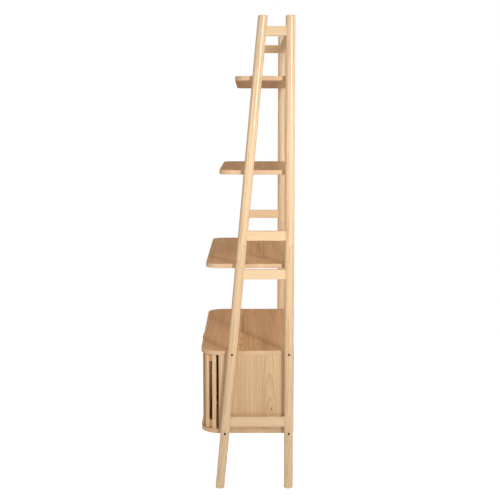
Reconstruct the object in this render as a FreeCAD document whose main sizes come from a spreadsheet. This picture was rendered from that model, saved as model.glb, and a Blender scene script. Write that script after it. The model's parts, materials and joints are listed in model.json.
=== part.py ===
"""Ladder shelf: two leaning side frames, three open shelves and a cabinet with two slatted doors.

Own frame: +X to the right, +Y to the rear, +Z up, millimetres.  The origin is on the floor, midway
between the frames and midway between the door knobs and the rear edges of the boards.
"""
import FreeCAD, Part
import math
import os
import re

import Sketcher

SIZES = {
    # The whole shelf
    "height": 1900,
    "width": 1000,
    "depth": 390,
    "lean": 5.23,
    "foot_spread": 281,
    # Legs: round bars, each in two pieces joined by a half lap
    "leg_dia": 38,
    "leg_head_round": 3,
    "lap_low": 937,
    "lap_high": 1000,
    "rear_margin": 2.5,
    # Rungs and back rail
    "rung_thick": 20,
    "rung_round": 3,
    "tenon_thick": 10,
    "tenon_shoulder": 6,
    "tenon_depth": 12,
    "head_rung_low": 1821.5,
    "head_rung_high": 1859,
    "upper_rung_low": 1021,
    "upper_rung_high": 1060,
    "lower_rung_low": 866,
    "lower_rung_high": 904.5,
    "base_rung_low": 258,
    "base_rung_high": 300,
    # Boards: height of each top face, and depth from the rear edge to the front edge
    "board": 18,
    "board_round": 1.5,
    "top_shelf_level": 1669.5,
    "top_shelf_depth": 238,
    "middle_shelf_level": 1300.5,
    "middle_shelf_depth": 302,
    "lower_shelf_level": 925,
    "lower_shelf_depth": 357.5,
    "cabinet_top_level": 568.5,
    "cabinet_floor_level": 240.5,
    "cabinet_depth": 380,
    "shelf_corner": 55,
    "cabinet_corner": 78,
    # Cabinet carcass
    "side_inset": 1,
    "side_front_setback": 73.5,
    "back_thick": 6,
    "rebate": 8,
    "divider_gap": 0.6,
    "dowel_dia": 8,
    "dowel_long": 24,
    "dowel_in_board": 10,
    "dowel_spread": 160,
    # Doors: upright slats on two bent rails, hung on pins at the outer slat
    "door_setback": 6,
    "door_gap": 2,
    "meeting_gap": 1.5,
    "slat_wide": 16,
    "slat_thick": 8,
    "slat_round": 1.5,
    "slat_pitch": 38.6,
    "rail_thick": 16,
    "rail_tall": 30,
    "pivot_dia": 4,
    "pivot_grip": 20,
    "pivot_reach": 10,
    "bush_dia": 8,
    "bush_deep": 12,
    "bush_flange_dia": 12,
    "bush_flange_thick": 1.6,
    "running_clearance": 0.05,
    # Knobs, strike plates and the catches
    "knob_dia": 14,
    "knob_long": 24,
    "knob_drop": 3,
    "knob_neck_dia": 8,
    "knob_neck_long": 15,
    "knob_foot_long": 1.5,
    "knob_foot_lip": 1,
    "knob_dome": 2.5,
    "knob_waist": 1.5,
    "knob_screw_dia": 4,
    "knob_screw_head": 7.5,
    "knob_screw_head_long": 2.5,
    "knob_screw_bite": 9,
    "strike_wide": 12,
    "strike_tall": 12,
    "strike_thick": 1.2,
    "strike_offset": 17,
    "catch_wide": 18,
    "catch_deep": 15,
    "catch_tall": 13,
    "catch_gap": 0.4,
    # Bolts, barrel nuts, inserts, shelf pins and screws
    "bolt_dia": 6,
    "bolt_head_dia": 8.6,
    "bolt_head_long": 5,
    "bolt_recess": 2.5,
    "bolt_long": 68,
    "socket_across": 4.6,
    "socket_deep": 2.8,
    "hole_clearance": 0.4,
    "barrel_dia": 10,
    "barrel_long": 13,
    "barrel_inset": 32,
    "lap_bolt_long": 20,
    "lap_bolt_spread": 32,
    "insert_dia": 9,
    "insert_long": 10,
    "pin_dia": 8,
    "pin_in_leg": 12,
    "pin_in_board": 20,
    "screw_dia": 3,
    "screw_long": 14,
    "screw_head_dia": 5.6,
    "screw_head_long": 1.5,
    "screw_spread_wide": 300,
    "screw_spread_tall": 115,
}

SLATS_PER_DOOR = 13
SIDES = {"left": -1, "right": 1}
RUNGS = ("head_rung", "upper_rung", "lower_rung", "base_rung")
SHELVES = ("top_shelf", "middle_shelf", "lower_shelf")

# Places that several pieces share, written as expressions on the sheet
LEG_X = "(width / 2 - leg_dia / 2)"
LEG_INNER_X = "(width / 2 - leg_dia)"
REAR_PLANE = "(depth / 2)"
REAR_LEG_Y = "(depth / 2 - rear_margin - leg_dia / 2)"
FRONT_FOOT_Y = f"({REAR_LEG_Y} - foot_spread)"
CABINET_FRONT = f"({REAR_PLANE} - cabinet_depth)"
CABINET_ROOF = "(cabinet_top_level - board)"
SIDE_OUTER_X = f"({LEG_INNER_X} - side_inset)"
SIDE_INNER_X = f"({SIDE_OUTER_X} - board)"
DOOR_FACE = f"({CABINET_FRONT} + door_setback)"
DOOR_LOW = "(cabinet_floor_level + door_gap)"
DOOR_HIGH = f"({CABINET_ROOF} - door_gap)"
BEND_X = f"({LEG_INNER_X} - cabinet_corner)"
BEND_Y = f"({CABINET_FRONT} + cabinet_corner)"
BEND_RADIUS = "(cabinet_corner - door_setback)"
RAIL_FACE = f"({DOOR_FACE} + slat_thick)"
RAIL_BACK = f"({RAIL_FACE} + rail_thick)"
FIRST_SLAT_X = "(meeting_gap + slat_wide / 2)"
KNOB_X = f"({FIRST_SLAT_X} + slat_pitch / 2)"
KNOB_Z = f"({DOOR_HIGH} - rail_tall / 2 - knob_drop)"
STRIKE_Z = f"({DOOR_HIGH} - rail_tall / 2)"

UP = FreeCAD.Vector(0, 0, 1)
REARWARD = FreeCAD.Vector(0, 1, 0)
SAME = 1e-4

doc = FreeCAD.newDocument("ladder_shelf")
sheet = doc.addObject("Spreadsheet::Sheet", "Sizes")
for row, (alias, size) in enumerate(SIZES.items(), start=1):
    sheet.set(f"A{row}", alias)
    sheet.set(f"B{row}", str(size))
    sheet.setAlias(f"B{row}", alias)
doc.recompute()

pieces = {}


# ---------------------------------------------------------------- helpers


def full(text):
    """The expression with each alias written as a cell of the sheet."""
    return re.sub(r"[a-z_]+", lambda word: f"Sizes.{word[0]}" if word[0] in SIZES else word[0], text)


def number(text):
    """The value of an expression on the sheet."""
    result = sheet.evalExpression(full(text))
    return float(getattr(result, "Value", result))


def bind(thing, **sizes):
    """Binds properties of an object to expressions on the sheet."""
    for name, text in sizes.items():
        thing.setExpression(name, full(text))


def put(thing, at, rotation=None):
    """Places an object: its own origin goes to the point, which is bound to the sheet."""
    thing.Placement = FreeCAD.Placement(FreeCAD.Vector(), rotation or FreeCAD.Rotation())
    for axis, text in zip("xyz", at):
        thing.setExpression(f".Placement.Base.{axis}", full(text))
    return thing


def moved(at, direction, distance):
    """The point at a distance from another, along a direction."""
    return tuple(f"({text}) + ({distance}) * {step:.9f}" for text, step in zip(at, direction))


def rod(name, dia, length, at, direction):
    """Round bar from a point, along a direction."""
    bar = doc.addObject("Part::Cylinder", name)
    bind(bar, Radius=f"({dia}) / 2", Height=length)
    return put(bar, at, FreeCAD.Rotation(UP, direction))


def block(name, low, high):
    """Upright box between two opposite corners."""
    box = doc.addObject("Part::Box", name)
    length, width, tall = (f"({b}) - ({a})" for a, b in zip(low, high))
    bind(box, Length=length, Width=width, Height=tall)
    return put(box, low)


def block_both_ways(name, side, near, far):
    """Upright box whose X corners are given for the right side, and mirrored for the left."""
    low_x, high_x = (near[0], far[0]) if side > 0 else (f"-({far[0]})", f"-({near[0]})")
    return block(name, (low_x, *near[1:]), (high_x, *far[1:]))


def fused(name, solids):
    """One object out of several solids that touch or overlap."""
    whole = doc.addObject("Part::MultiFuse", name)
    whole.Shapes = solids
    return whole


def cut(name, solid, tools):
    """A solid with every tool taken away from it."""
    remainder = doc.addObject("Part::Cut", name)
    remainder.Base = solid
    remainder.Tool = tools[0] if len(tools) == 1 else fused(f"{name}_tools", tools)
    return remainder


def group(name, solids):
    """Identical small pieces kept as one object of separate solids."""
    together = doc.addObject("Part::Compound", name)
    together.Links = solids
    return together


def keep(name, thing):
    """Names a finished piece, which names its file too."""
    thing.Label = name
    pieces[name] = thing


def origin_plane(body, role):
    """One of a body's own origin planes."""
    return next(plane for plane in body.Origin.OriginFeatures if plane.Role == role)


def outline(body, name, role, points):
    """Closed sketch of straight lines on an origin plane, every corner bound to the sheet."""
    sketch = body.newObject("Sketcher::SketchObject", name)
    sketch.AttachmentSupport = [(origin_plane(body, role), "")]
    sketch.MapMode = "FlatFace"
    corners = [FreeCAD.Vector(number(x), number(y), 0) for x, y in points]
    for start, end in zip(corners, corners[1:] + corners[:1]):
        sketch.addGeometry(Part.LineSegment(start, end), False)
    for line in range(len(points)):
        following = (line + 1) % len(points)
        sketch.addConstraint(Sketcher.Constraint("Coincident", line, 2, following, 1))
    for line, (corner, place) in enumerate(zip(corners, points)):
        for axis, value, text in zip("XY", corner, place):
            index = sketch.addConstraint(Sketcher.Constraint(f"Distance{axis}", -1, 1, line, 1, value))
            sketch.renameConstraint(index, f"{axis.lower()}_of_corner_{line}")
            bind(sketch, **{f"Constraints.{axis.lower()}_of_corner_{line}": text})
    return sketch


def padded_body(name, role, points, length):
    """Body with one pad of an outline."""
    body = doc.addObject("PartDesign::Body", name)
    sketch = outline(body, f"{name}_outline", role, points)
    pad = body.newObject("PartDesign::Pad", f"{name}_pad")
    pad.Profile = sketch
    bind(pad, Length=length)
    sketch.Visibility = False
    doc.recompute()
    return body


def round_edges(body, name, radius, wanted):
    """Fillet on those edges of a body's last feature that a test picks."""
    base = body.Tip
    picked = [f"Edge{i}" for i, edge in enumerate(base.Shape.Edges, start=1) if wanted(edge)]
    fillet = body.newObject("PartDesign::Fillet", name)
    fillet.Base = (base, picked)
    bind(fillet, Radius=radius)
    doc.recompute()


def upright_at(edge, test):
    """Whether an edge is upright and its place passes a test of x and y."""
    first, last = edge.Vertexes[0].Point, edge.Vertexes[-1].Point
    same_place = abs(first.x - last.x) + abs(first.y - last.y) < SAME
    return same_place and abs(first.z - last.z) > SAME and test(first.x, first.y)


def level_edge(edge):
    """Whether an edge lies flat."""
    return edge.BoundBox.ZLength < SAME


def on_rim(edge, radius, height):
    """Whether an edge is a level circle of a radius about the Z axis, at a height."""
    box = edge.BoundBox
    return level_edge(edge) and abs(box.XMax - radius) < SAME and abs(box.ZMin - height) < SAME


def bolt(name, at, direction, length):
    """Socket-head bolt: its head's outer face is at the point, and it points along the direction."""
    head = rod(f"{name}_head", "bolt_head_dia", "bolt_head_long", at, direction)
    shank = rod(f"{name}_shank", "bolt_dia", length, moved(at, direction, "bolt_head_long"), direction)
    socket = doc.addObject("Part::Prism", f"{name}_socket")
    socket.Polygon = 6
    bind(socket, Circumradius="socket_across / 2", Height="socket_deep")
    put(socket, at, FreeCAD.Rotation(UP, direction))
    return cut(name, fused(f"{name}_blank", [head, shank]), [socket])


# ---------------------------------------------------------------- side frames


def lean_axis(end):
    """Direction of a leg from foot to head."""
    lean = math.radians(SIZES["lean"]) if end == "front" else 0
    return FreeCAD.Vector(0, math.sin(lean), math.cos(lean))


def leg_foot(side, end):
    """Point where a leg's axis meets the floor."""
    return f"{side} * {LEG_X}", FRONT_FOOT_Y if end == "front" else REAR_LEG_Y, "0"


def leg_y(end, level):
    """Where a leg's axis is, front to rear, at a level."""
    return f"({FRONT_FOOT_Y} + ({level}) * tan(lean))" if end == "front" else REAR_LEG_Y


def on_leg(side, end, level):
    """Point on a leg's axis at a level."""
    return f"{side} * {LEG_X}", leg_y(end, level), level


def rung_tenon(side, rung, end):
    """Tongue of a rung, from the leg's middle plane side out to the rung's shoulder."""
    middle = f"({rung}_low + {rung}_high) / 2"
    face = "leg_dia / 2"
    if end == "front":
        low_y = f"{leg_y(end, middle)} + {face} - tenon_depth"
        high_y = f"{leg_y(end, middle)} + {face} + tenon_shoulder"
    else:
        low_y = f"{REAR_LEG_Y} - {face} - tenon_shoulder"
        high_y = f"{REAR_LEG_Y} - {face} + tenon_depth"
    near = (f"{LEG_X} - tenon_thick / 2", low_y, f"{rung}_low + tenon_shoulder")
    far = (f"{LEG_X} + tenon_thick / 2", high_y, f"{rung}_high - tenon_shoulder")
    return block_both_ways(f"{rung}_tenon_{end}", side, near, far)


def rung(side_name, side, rung_name, tenons):
    """Front-to-rear bar of a side frame, coped to the round legs, with a tenon at each end."""
    name = f"{side_name}_{rung_name}"
    low, high = f"{rung_name}_low", f"{rung_name}_high"
    half = "rung_thick / 2"
    points = [
        (f"{side} * {LEG_X} - {half}", low),
        (f"{side} * {LEG_X} + {half}", low),
        (f"{side} * {LEG_X} + {half}", high),
        (f"{side} * {LEG_X} - {half}", high),
    ]
    start = leg_y("front", low)
    bar = padded_body(f"{name}_bar", "XZ_Plane", points, f"{REAR_LEG_Y} - {start}")
    round_edges(bar, f"{name}_round", "rung_round", lambda edge: edge.BoundBox.YLength > SAME)
    put(bar, ("0", REAR_LEG_Y, "0"))
    legs = []
    for end in ("front", "rear"):
        axis = lean_axis(end)
        bottom = moved(on_leg(side, end, low), axis, "-leg_dia")
        legs.append(rod(f"{name}_cope_{end}", "leg_dia", f"{high} - {low} + 2 * leg_dia", bottom, axis))
    coped = cut(f"{name}_coped", bar, legs)
    keep(name, fused(name, [coped, *tenons]))


def lap_block(name, side, end, rearward, low, high):
    """Half of a leg, split along its axis between two lengths, which the lap joint takes away."""
    axis = lean_axis(end)
    across = FreeCAD.Vector(0, axis.z, -axis.y)
    box = doc.addObject("Part::Box", name)
    bind(box, Length="2 * leg_dia", Width="leg_dia", Height=f"({high}) - ({low})")
    corner = moved(leg_foot(side, end), axis, low)
    corner = moved(corner, FreeCAD.Vector(1, 0, 0), "-leg_dia")
    if not rearward:
        corner = moved(corner, across, "-leg_dia")
    return put(box, corner, FreeCAD.Rotation(UP, axis))


def lap_fastening(name, side, end):
    """Bolts, inserts and their holes across one lap joint, headed on the leg's inner face."""
    axis = lean_axis(end)
    inward = FreeCAD.Vector(0, axis.z, -axis.y) * (1 if end == "front" else -1)
    into_leg = inward * -1
    middle = f"(lap_low + lap_high) / 2 / {axis.z:.9f}"
    bolts, inserts, head_holes, insert_holes = [], [], [], []
    for count, step in enumerate((-1, 1)):
        centre = moved(leg_foot(side, end), axis, f"{middle} + {step} * lap_bolt_spread / 2")
        face = moved(centre, inward, "leg_dia / 2")
        head = moved(face, into_leg, "bolt_recess")
        tag = f"{name}_{count}"
        bolts.append(bolt(f"{tag}_bolt", head, into_leg, "lap_bolt_long"))
        bored = "bolt_dia + hole_clearance"
        recess = "bolt_recess + bolt_head_long"
        head_holes.append(rod(f"{tag}_recess", "bolt_head_dia + hole_clearance", recess, face, into_leg))
        head_holes.append(rod(f"{tag}_bore", bored, "leg_dia / 2", face, into_leg))
        sleeve = rod(f"{tag}_sleeve", "insert_dia", "insert_long", centre, into_leg)
        thread = rod(f"{tag}_thread", "bolt_dia", "lap_bolt_long", centre, into_leg)
        inserts.append(cut(f"{tag}_insert", sleeve, [thread]))
        well = "lap_bolt_long + bolt_recess + bolt_head_long - leg_dia / 2 + hole_clearance"
        insert_holes.append(rod(f"{tag}_well", "insert_dia", "insert_long", centre, into_leg))
        insert_holes.append(rod(f"{tag}_tip", bored, well, centre, into_leg))
    return bolts, inserts, head_holes, insert_holes


def leg(side_name, side, end, tenons, holes):
    """Round leg in two pieces that share a half lap; the upper piece keeps the front half."""
    axis = lean_axis(end)
    foot = leg_foot(side, end)
    low, high, top = (f"{level} / {axis.z:.9f}" for level in ("lap_low", "lap_high", "height"))
    base = f"{side_name}_{end}_leg"
    below = block(
        f"{base}_below", (f"{foot[0]} - leg_dia", f"{foot[1]} - leg_dia", "-leg_dia"),
        (f"{foot[0]} + leg_dia", f"{foot[1]} + leg_dia", "0"))
    head = on_leg(side, end, "height")
    above = block(
        f"{base}_above", (f"{head[0]} - leg_dia", f"{head[1]} - leg_dia", "height"),
        (f"{head[0]} + leg_dia", f"{head[1]} + leg_dia", "height + leg_dia"))

    lower_bar = rod(f"{base}_lower_bar", "leg_dia", f"{high} + leg_dia / 2",
                    moved(foot, axis, "-leg_dia / 2"), axis)
    lower_lap = lap_block(f"{base}_lower_lap", side, end, False, low, f"{high} + leg_dia")
    lower = cut(f"{base}_lower_piece", lower_bar, [below, lower_lap, *tenons["lower"], *holes["lower"]])
    keep(f"{base}_lower", lower)

    upper_bar = rod(f"{base}_upper_bar", "leg_dia", f"{top} - {low} + leg_dia / 2",
                    moved(foot, axis, low), axis)
    upper_lap = lap_block(f"{base}_upper_lap", side, end, True, f"{low} - leg_dia", high)
    squared = cut(f"{base}_squared", upper_bar, [above])
    doc.recompute()
    level = number("height")
    rims = [
        index for index, edge in enumerate(squared.Shape.Edges, start=1)
        if edge.BoundBox.ZMin > level - SAME
    ]
    rounded = doc.addObject("Part::Fillet", f"{base}_rounded")
    rounded.Base = squared
    rounded.Edges = [(index, number("leg_head_round"), number("leg_head_round")) for index in rims]
    upper = cut(f"{base}_upper_piece", rounded, [upper_lap, *tenons["upper"], *holes["upper"]])
    keep(f"{base}_upper", upper)


def shelf_pin(name, side, end, level):
    """Pin between a leg and the end of a shelf, with its hole in each.

    At the rear leg the shelf's round corner has already drawn in, so the pin bridges a small gap.
    """
    middle = f"{level} - board / 2"
    board_end = LEG_INNER_X
    if end == "rear":
        past_corner = f"(shelf_corner - {REAR_PLANE} + {REAR_LEG_Y})"
        drawn_in = f"(shelf_corner - sqrt(shelf_corner ^ 2 - {past_corner} ^ 2))"
        board_end = f"({LEG_INNER_X} - {drawn_in})"
    outward = FreeCAD.Vector(side, 0, 0)
    start = (f"{side} * ({board_end} - pin_in_board)", leg_y(end, middle), middle)
    length = f"{LEG_INNER_X} + pin_in_leg - ({board_end} - pin_in_board)"
    parts = ("pin", "in_board", "in_leg")
    return [rod(f"{name}_{part}", "pin_dia", length, start, outward) for part in parts]


def cabinet_fastening(name, side, end, level):
    """Bolt through a leg into a cabinet board, its barrel nut, and the holes for both."""
    middle = f"{level} - board / 2"
    inward = FreeCAD.Vector(-side, 0, 0)
    face = (f"{side} * width / 2", leg_y(end, middle), middle)
    head = moved(face, inward, "bolt_recess")
    one = bolt(f"{name}_bolt", head, inward, "bolt_long")
    recess = rod(
        f"{name}_recess", "bolt_head_dia + hole_clearance", "bolt_recess + bolt_head_long", face, inward)
    through = rod(f"{name}_through", "bolt_dia + hole_clearance", "leg_dia", face, inward)
    board_face = (f"{side} * {LEG_INNER_X}", face[1], middle)
    board_long = "bolt_long + bolt_recess + bolt_head_long - leg_dia + hole_clearance"
    board_hole = rod(f"{name}_board_hole", "bolt_dia + hole_clearance", board_long, board_face, inward)
    nut_foot = (f"{side} * ({LEG_INNER_X} - barrel_inset)", face[1], f"{level} - board")
    blank = rod(f"{name}_nut_blank", "barrel_dia", "barrel_long", nut_foot, UP)
    nut_bore = rod(f"{name}_nut_bore", "bolt_dia", "bolt_long + bolt_head_long", head, inward)
    nut = cut(f"{name}_nut", blank, [nut_bore])
    nut_hole = rod(f"{name}_nut_hole", "barrel_dia", "barrel_long", nut_foot, UP)
    return one, nut, [recess, through], [board_hole, nut_hole]


# ---------------------------------------------------------------- boards


def board(name, level, depth, front_corner, rear_corner):
    """Board between the frames, with round corners seen from above and softened edges."""
    end, front = LEG_INNER_X, f"({REAR_PLANE} - {depth})"
    points = [(f"-{end}", front), (end, front), (end, REAR_PLANE), (f"-{end}", REAR_PLANE)]
    body = padded_body(f"{name}_board", "XY_Plane", points, "board")
    for corner, edge_y, radius in (("front", front, front_corner), ("rear", REAR_PLANE, rear_corner)):
        line = number(edge_y)
        if radius:
            round_edges(body, f"{name}_{corner}_corners", radius,
                        lambda edge: upright_at(edge, lambda x, y: abs(y - line) < SAME))
    round_edges(body, f"{name}_round", "board_round", level_edge)
    return put(body, ("0", "0", f"{level} - board"))


# ---------------------------------------------------------------- cabinet


def cabinet_side(side_name, side):
    """Upright end board, rebated at its inner rear edge for the back panel."""
    name = f"{side_name}_cabinet_side"
    front = f"({CABINET_FRONT} + side_front_setback)"
    rebate_y = f"({REAR_PLANE} - back_thick)"
    inner, outer, step = SIDE_INNER_X, SIDE_OUTER_X, f"({SIDE_INNER_X} + rebate)"
    points = [
        (f"{side} * {inner}", front), (f"{side} * {outer}", front),
        (f"{side} * {outer}", REAR_PLANE), (f"{side} * {step}", REAR_PLANE),
        (f"{side} * {step}", rebate_y), (f"{side} * {inner}", rebate_y),
    ]
    body = padded_body(f"{name}_board", "XY_Plane", points, f"{CABINET_ROOF} - cabinet_floor_level")
    return put(body, ("0", "0", "cabinet_floor_level"))


def back_panel():
    """Thin back panel, let into the rebates of the four boards around it."""
    reach = f"({SIDE_INNER_X} + rebate)"
    low = (f"-{reach}", f"{REAR_PLANE} - back_thick", "cabinet_floor_level - rebate")
    high = (reach, REAR_PLANE, f"{CABINET_ROOF} + rebate")
    return block("back_panel_blank", low, high)


def back_screw(name, x, z):
    """Countersunk-flush screw through the back panel, and its stepped hole."""
    forward = REARWARD * -1
    face = (x, REAR_PLANE, z)
    solids = []
    for kind in ("", "_hole"):
        head = rod(f"{name}{kind}_head", "screw_head_dia", "screw_head_long", face, forward)
        shank = rod(f"{name}{kind}_shank", "screw_dia", "screw_long", face, forward)
        solids.append(fused(f"{name}{kind}", [head, shank]))
    return solids


def divider():
    """Upright board in the middle, dowelled to the roof and the floor; returns its dowels and holes."""
    front, back = f"({RAIL_BACK} + divider_gap)", f"({REAR_PLANE} - back_thick)"
    upright = block("divider_board", ("-board / 2", front, "cabinet_floor_level"),
                    ("board / 2", back, CABINET_ROOF))
    dowels, divider_holes, board_holes = [], [], {}
    boards = (("cabinet_top", CABINET_ROOF, UP), ("cabinet_floor", "cabinet_floor_level", UP * -1))
    for name, face, away in boards:
        board_holes[name] = []
        rods = (("dowel", dowels), ("in_divider", divider_holes), ("in_board", board_holes[name]))
        for step in (-1, 1):
            y = f"({front} + {back}) / 2 + {step} * dowel_spread / 2"
            start = moved(("0", y, face), away, "dowel_in_board")
            for part, made in rods:
                made.append(rod(f"{name}_{part}_{step + 1}", "dowel_dia", "dowel_long", start, away * -1))
    return cut("cabinet_divider", upright, divider_holes), dowels, board_holes


# ---------------------------------------------------------------- doors


def slat_turn(index):
    """How far round the bend a slat stands, in degrees; none on the straight stretch."""
    along = number(FIRST_SLAT_X) + index * number("slat_pitch")
    return max(0.0, math.degrees((along - number(BEND_X)) / number(BEND_RADIUS)))


def slat_face(side, index, inward="0"):
    """Middle of a slat's outer face at its foot, or a point further in towards the rails."""
    turn = slat_turn(index)
    radius = f"({BEND_RADIUS} - ({inward}))"
    if turn:
        x = f"{BEND_X} + {radius} * sin({turn:.6f})"
        y = f"{BEND_Y} - {radius} * cos({turn:.6f})"
    else:
        x = f"{FIRST_SLAT_X} + {index} * slat_pitch"
        y = f"{BEND_Y} - {radius}"
    return f"{side} * ({x})", y, DOOR_LOW


def slat(name, side, index):
    """Upright slat with softened outer edges."""
    half = "slat_wide / 2"
    points = [(f"-{half}", "0"), (half, "0"), (half, "slat_thick"), (f"-{half}", "slat_thick")]
    body = padded_body(f"{name}_body", "XY_Plane", points, f"{DOOR_HIGH} - {DOOR_LOW}")
    round_edges(body, f"{name}_round", "slat_round",
                lambda edge: upright_at(edge, lambda x, y: y < number("slat_round")))
    turn = FreeCAD.Rotation(UP, side * slat_turn(index))
    return put(body, slat_face(side, index), turn)


def door_rail(name, side, level):
    """Bent rail behind the slats: a straight run and a bend that stops halfway behind the hinge slat."""
    high = f"{level} + rail_tall"
    straight = block_both_ways(
        f"{name}_straight", side, ("meeting_gap", RAIL_FACE, level), (BEND_X, RAIL_BACK, high))
    centre = (f"{side} * {BEND_X}", BEND_Y, level)
    sweep = slat_turn(SLATS_PER_DOOR - 1)
    turn = FreeCAD.Rotation(UP, -90 if side > 0 else -90 - sweep)
    outer = doc.addObject("Part::Cylinder", f"{name}_bend_outer")
    outer.Angle = sweep
    bind(outer, Radius=f"{BEND_RADIUS} - slat_thick", Height="rail_tall")
    put(outer, centre, turn)
    inner = rod(f"{name}_bend_inner", f"2 * ({BEND_RADIUS} - slat_thick - rail_thick)", "rail_tall",
                centre, UP)
    bend = cut(f"{name}_bend", outer, [inner])
    return fused(f"{name}_blank", [straight, bend])


def pivot(name, side, upward):
    """Pivot pin, flanged bush, and the holes for them in the hinge slat and the cabinet board."""
    x, y, _ = slat_face(side, SLATS_PER_DOOR - 1, "slat_thick / 2")
    board_face = CABINET_ROOF if upward else "cabinet_floor_level"
    door_end = DOOR_HIGH if upward else DOOR_LOW
    away = UP if upward else UP * -1
    grip_start = moved((x, y, door_end), away, "-pivot_grip")
    pin = rod(f"{name}_pin", "pivot_dia", "pivot_grip + door_gap + pivot_reach", grip_start, away)
    slat_hole = rod(f"{name}_slat_hole", "pivot_dia", "pivot_grip", grip_start, away)
    sleeve = rod(f"{name}_sleeve", "bush_dia", "bush_deep", (x, y, board_face), away)
    flange_start = moved((x, y, board_face), away, "-bush_flange_thick")
    flange = rod(f"{name}_flange", "bush_flange_dia", "bush_flange_thick", flange_start, away)
    running = rod(f"{name}_running", "pivot_dia + 2 * running_clearance",
                  "bush_deep + bush_flange_thick", flange_start, away)
    bush = cut(f"{name}_bush", fused(f"{name}_bush_blank", [sleeve, flange]), [running])
    board_hole = rod(f"{name}_board_hole", "bush_dia", "bush_deep", (x, y, board_face), away)
    return pin, slat_hole, bush, board_hole


def knob(name, side):
    """Turned metal knob: a small foot, a neck and a softly domed head."""
    profile = [
        ("0", "0"), ("knob_neck_dia / 2 + knob_foot_lip", "0"),
        ("knob_neck_dia / 2 + knob_foot_lip", "knob_foot_long"),
        ("knob_neck_dia / 2", "knob_foot_long"), ("knob_neck_dia / 2", "knob_neck_long"),
        ("knob_dia / 2", "knob_neck_long"), ("knob_dia / 2", "knob_long"), ("0", "knob_long"),
    ]
    body = doc.addObject("PartDesign::Body", f"{name}_body")
    sketch = outline(body, f"{name}_profile", "XZ_Plane", profile)
    turned = body.newObject("PartDesign::Revolution", f"{name}_turned")
    turned.Profile = sketch
    turned.ReferenceAxis = (sketch, ["V_Axis"])
    turned.Angle = 360
    sketch.Visibility = False
    doc.recompute()
    for part, level in (("dome", "knob_long"), ("waist", "knob_neck_long")):
        height = number(level)
        round_edges(body, f"{name}_{part}", f"knob_{part}",
                    lambda edge: on_rim(edge, number("knob_dia / 2"), height))
    return put(body, (f"{side} * {KNOB_X}", RAIL_FACE, KNOB_Z), FreeCAD.Rotation(UP, REARWARD * -1))


def door(side_name, side):
    """One slatted door with its pivots, knob and strike plate; returns its bushes and their holes."""
    last = SLATS_PER_DOOR - 1
    name = f"{side_name}_door"
    screw_start = (f"{side} * {KNOB_X}", RAIL_BACK, KNOB_Z)
    forward = REARWARD * -1

    def screw_solid(kind):
        head = rod(f"{name}_{kind}_head", "knob_screw_head", "knob_screw_head_long", screw_start, forward)
        shank = rod(f"{name}_{kind}_shank", "knob_screw_dia", "rail_thick + knob_screw_bite",
                    screw_start, forward)
        return fused(f"{name}_{kind}", [head, shank])

    pins, bushes, board_holes, slat_holes = [], [], [], []
    for place, upward in (("low", False), ("high", True)):
        pin, slat_hole, bush, board_hole = pivot(f"{name}_{place}", side, upward)
        pins.append(pin)
        slat_holes.append(slat_hole)
        bushes.append(bush)
        board_holes.append(board_hole)

    plain = [slat(f"{name}_slat_{index}", side, index) for index in range(last)]
    keep(f"{name}_slats", group(f"{name}_slats", plain))
    hinge = slat(f"{name}_slat_{last}", side, last)
    keep(f"{name}_hinge_slat", cut(f"{name}_hinge_slat", hinge, slat_holes))
    keep(f"{name}_pivot_pins", group(f"{name}_pivot_pins", pins))

    top_rail = door_rail(f"{name}_top_rail", side, f"({DOOR_HIGH} - rail_tall)")
    keep(f"{name}_top_rail", cut(f"{name}_top_rail", top_rail, [screw_solid("rail_hole")]))
    keep(f"{name}_bottom_rail", door_rail(f"{name}_bottom_rail", side, DOOR_LOW))
    keep(f"{name}_knob", cut(f"{name}_knob", knob(f"{name}_knob", side), [screw_solid("knob_hole")]))
    keep(f"{name}_knob_screw", screw_solid("screw"))

    strike_low = ("strike_offset - strike_wide / 2", RAIL_BACK, f"{STRIKE_Z} - strike_tall / 2")
    strike_high = ("strike_offset + strike_wide / 2", f"{RAIL_BACK} + strike_thick",
                   f"{STRIKE_Z} + strike_tall / 2")
    keep(f"{name}_strike_plate", block_both_ways(f"{name}_strike", side, strike_low, strike_high))
    return bushes, board_holes


def magnetic_catch(side_name, side):
    """Catch under the cabinet's roof beside the divider, facing a door's strike plate."""
    near = f"{RAIL_BACK} + strike_thick + catch_gap"
    low = ("board / 2", near, f"{CABINET_ROOF} - catch_tall")
    high = ("board / 2 + catch_wide", f"{near} + catch_deep", CABINET_ROOF)
    return block_both_ways(f"{side_name}_magnetic_catch", side, low, high)


# ---------------------------------------------------------------- the whole shelf


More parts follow.
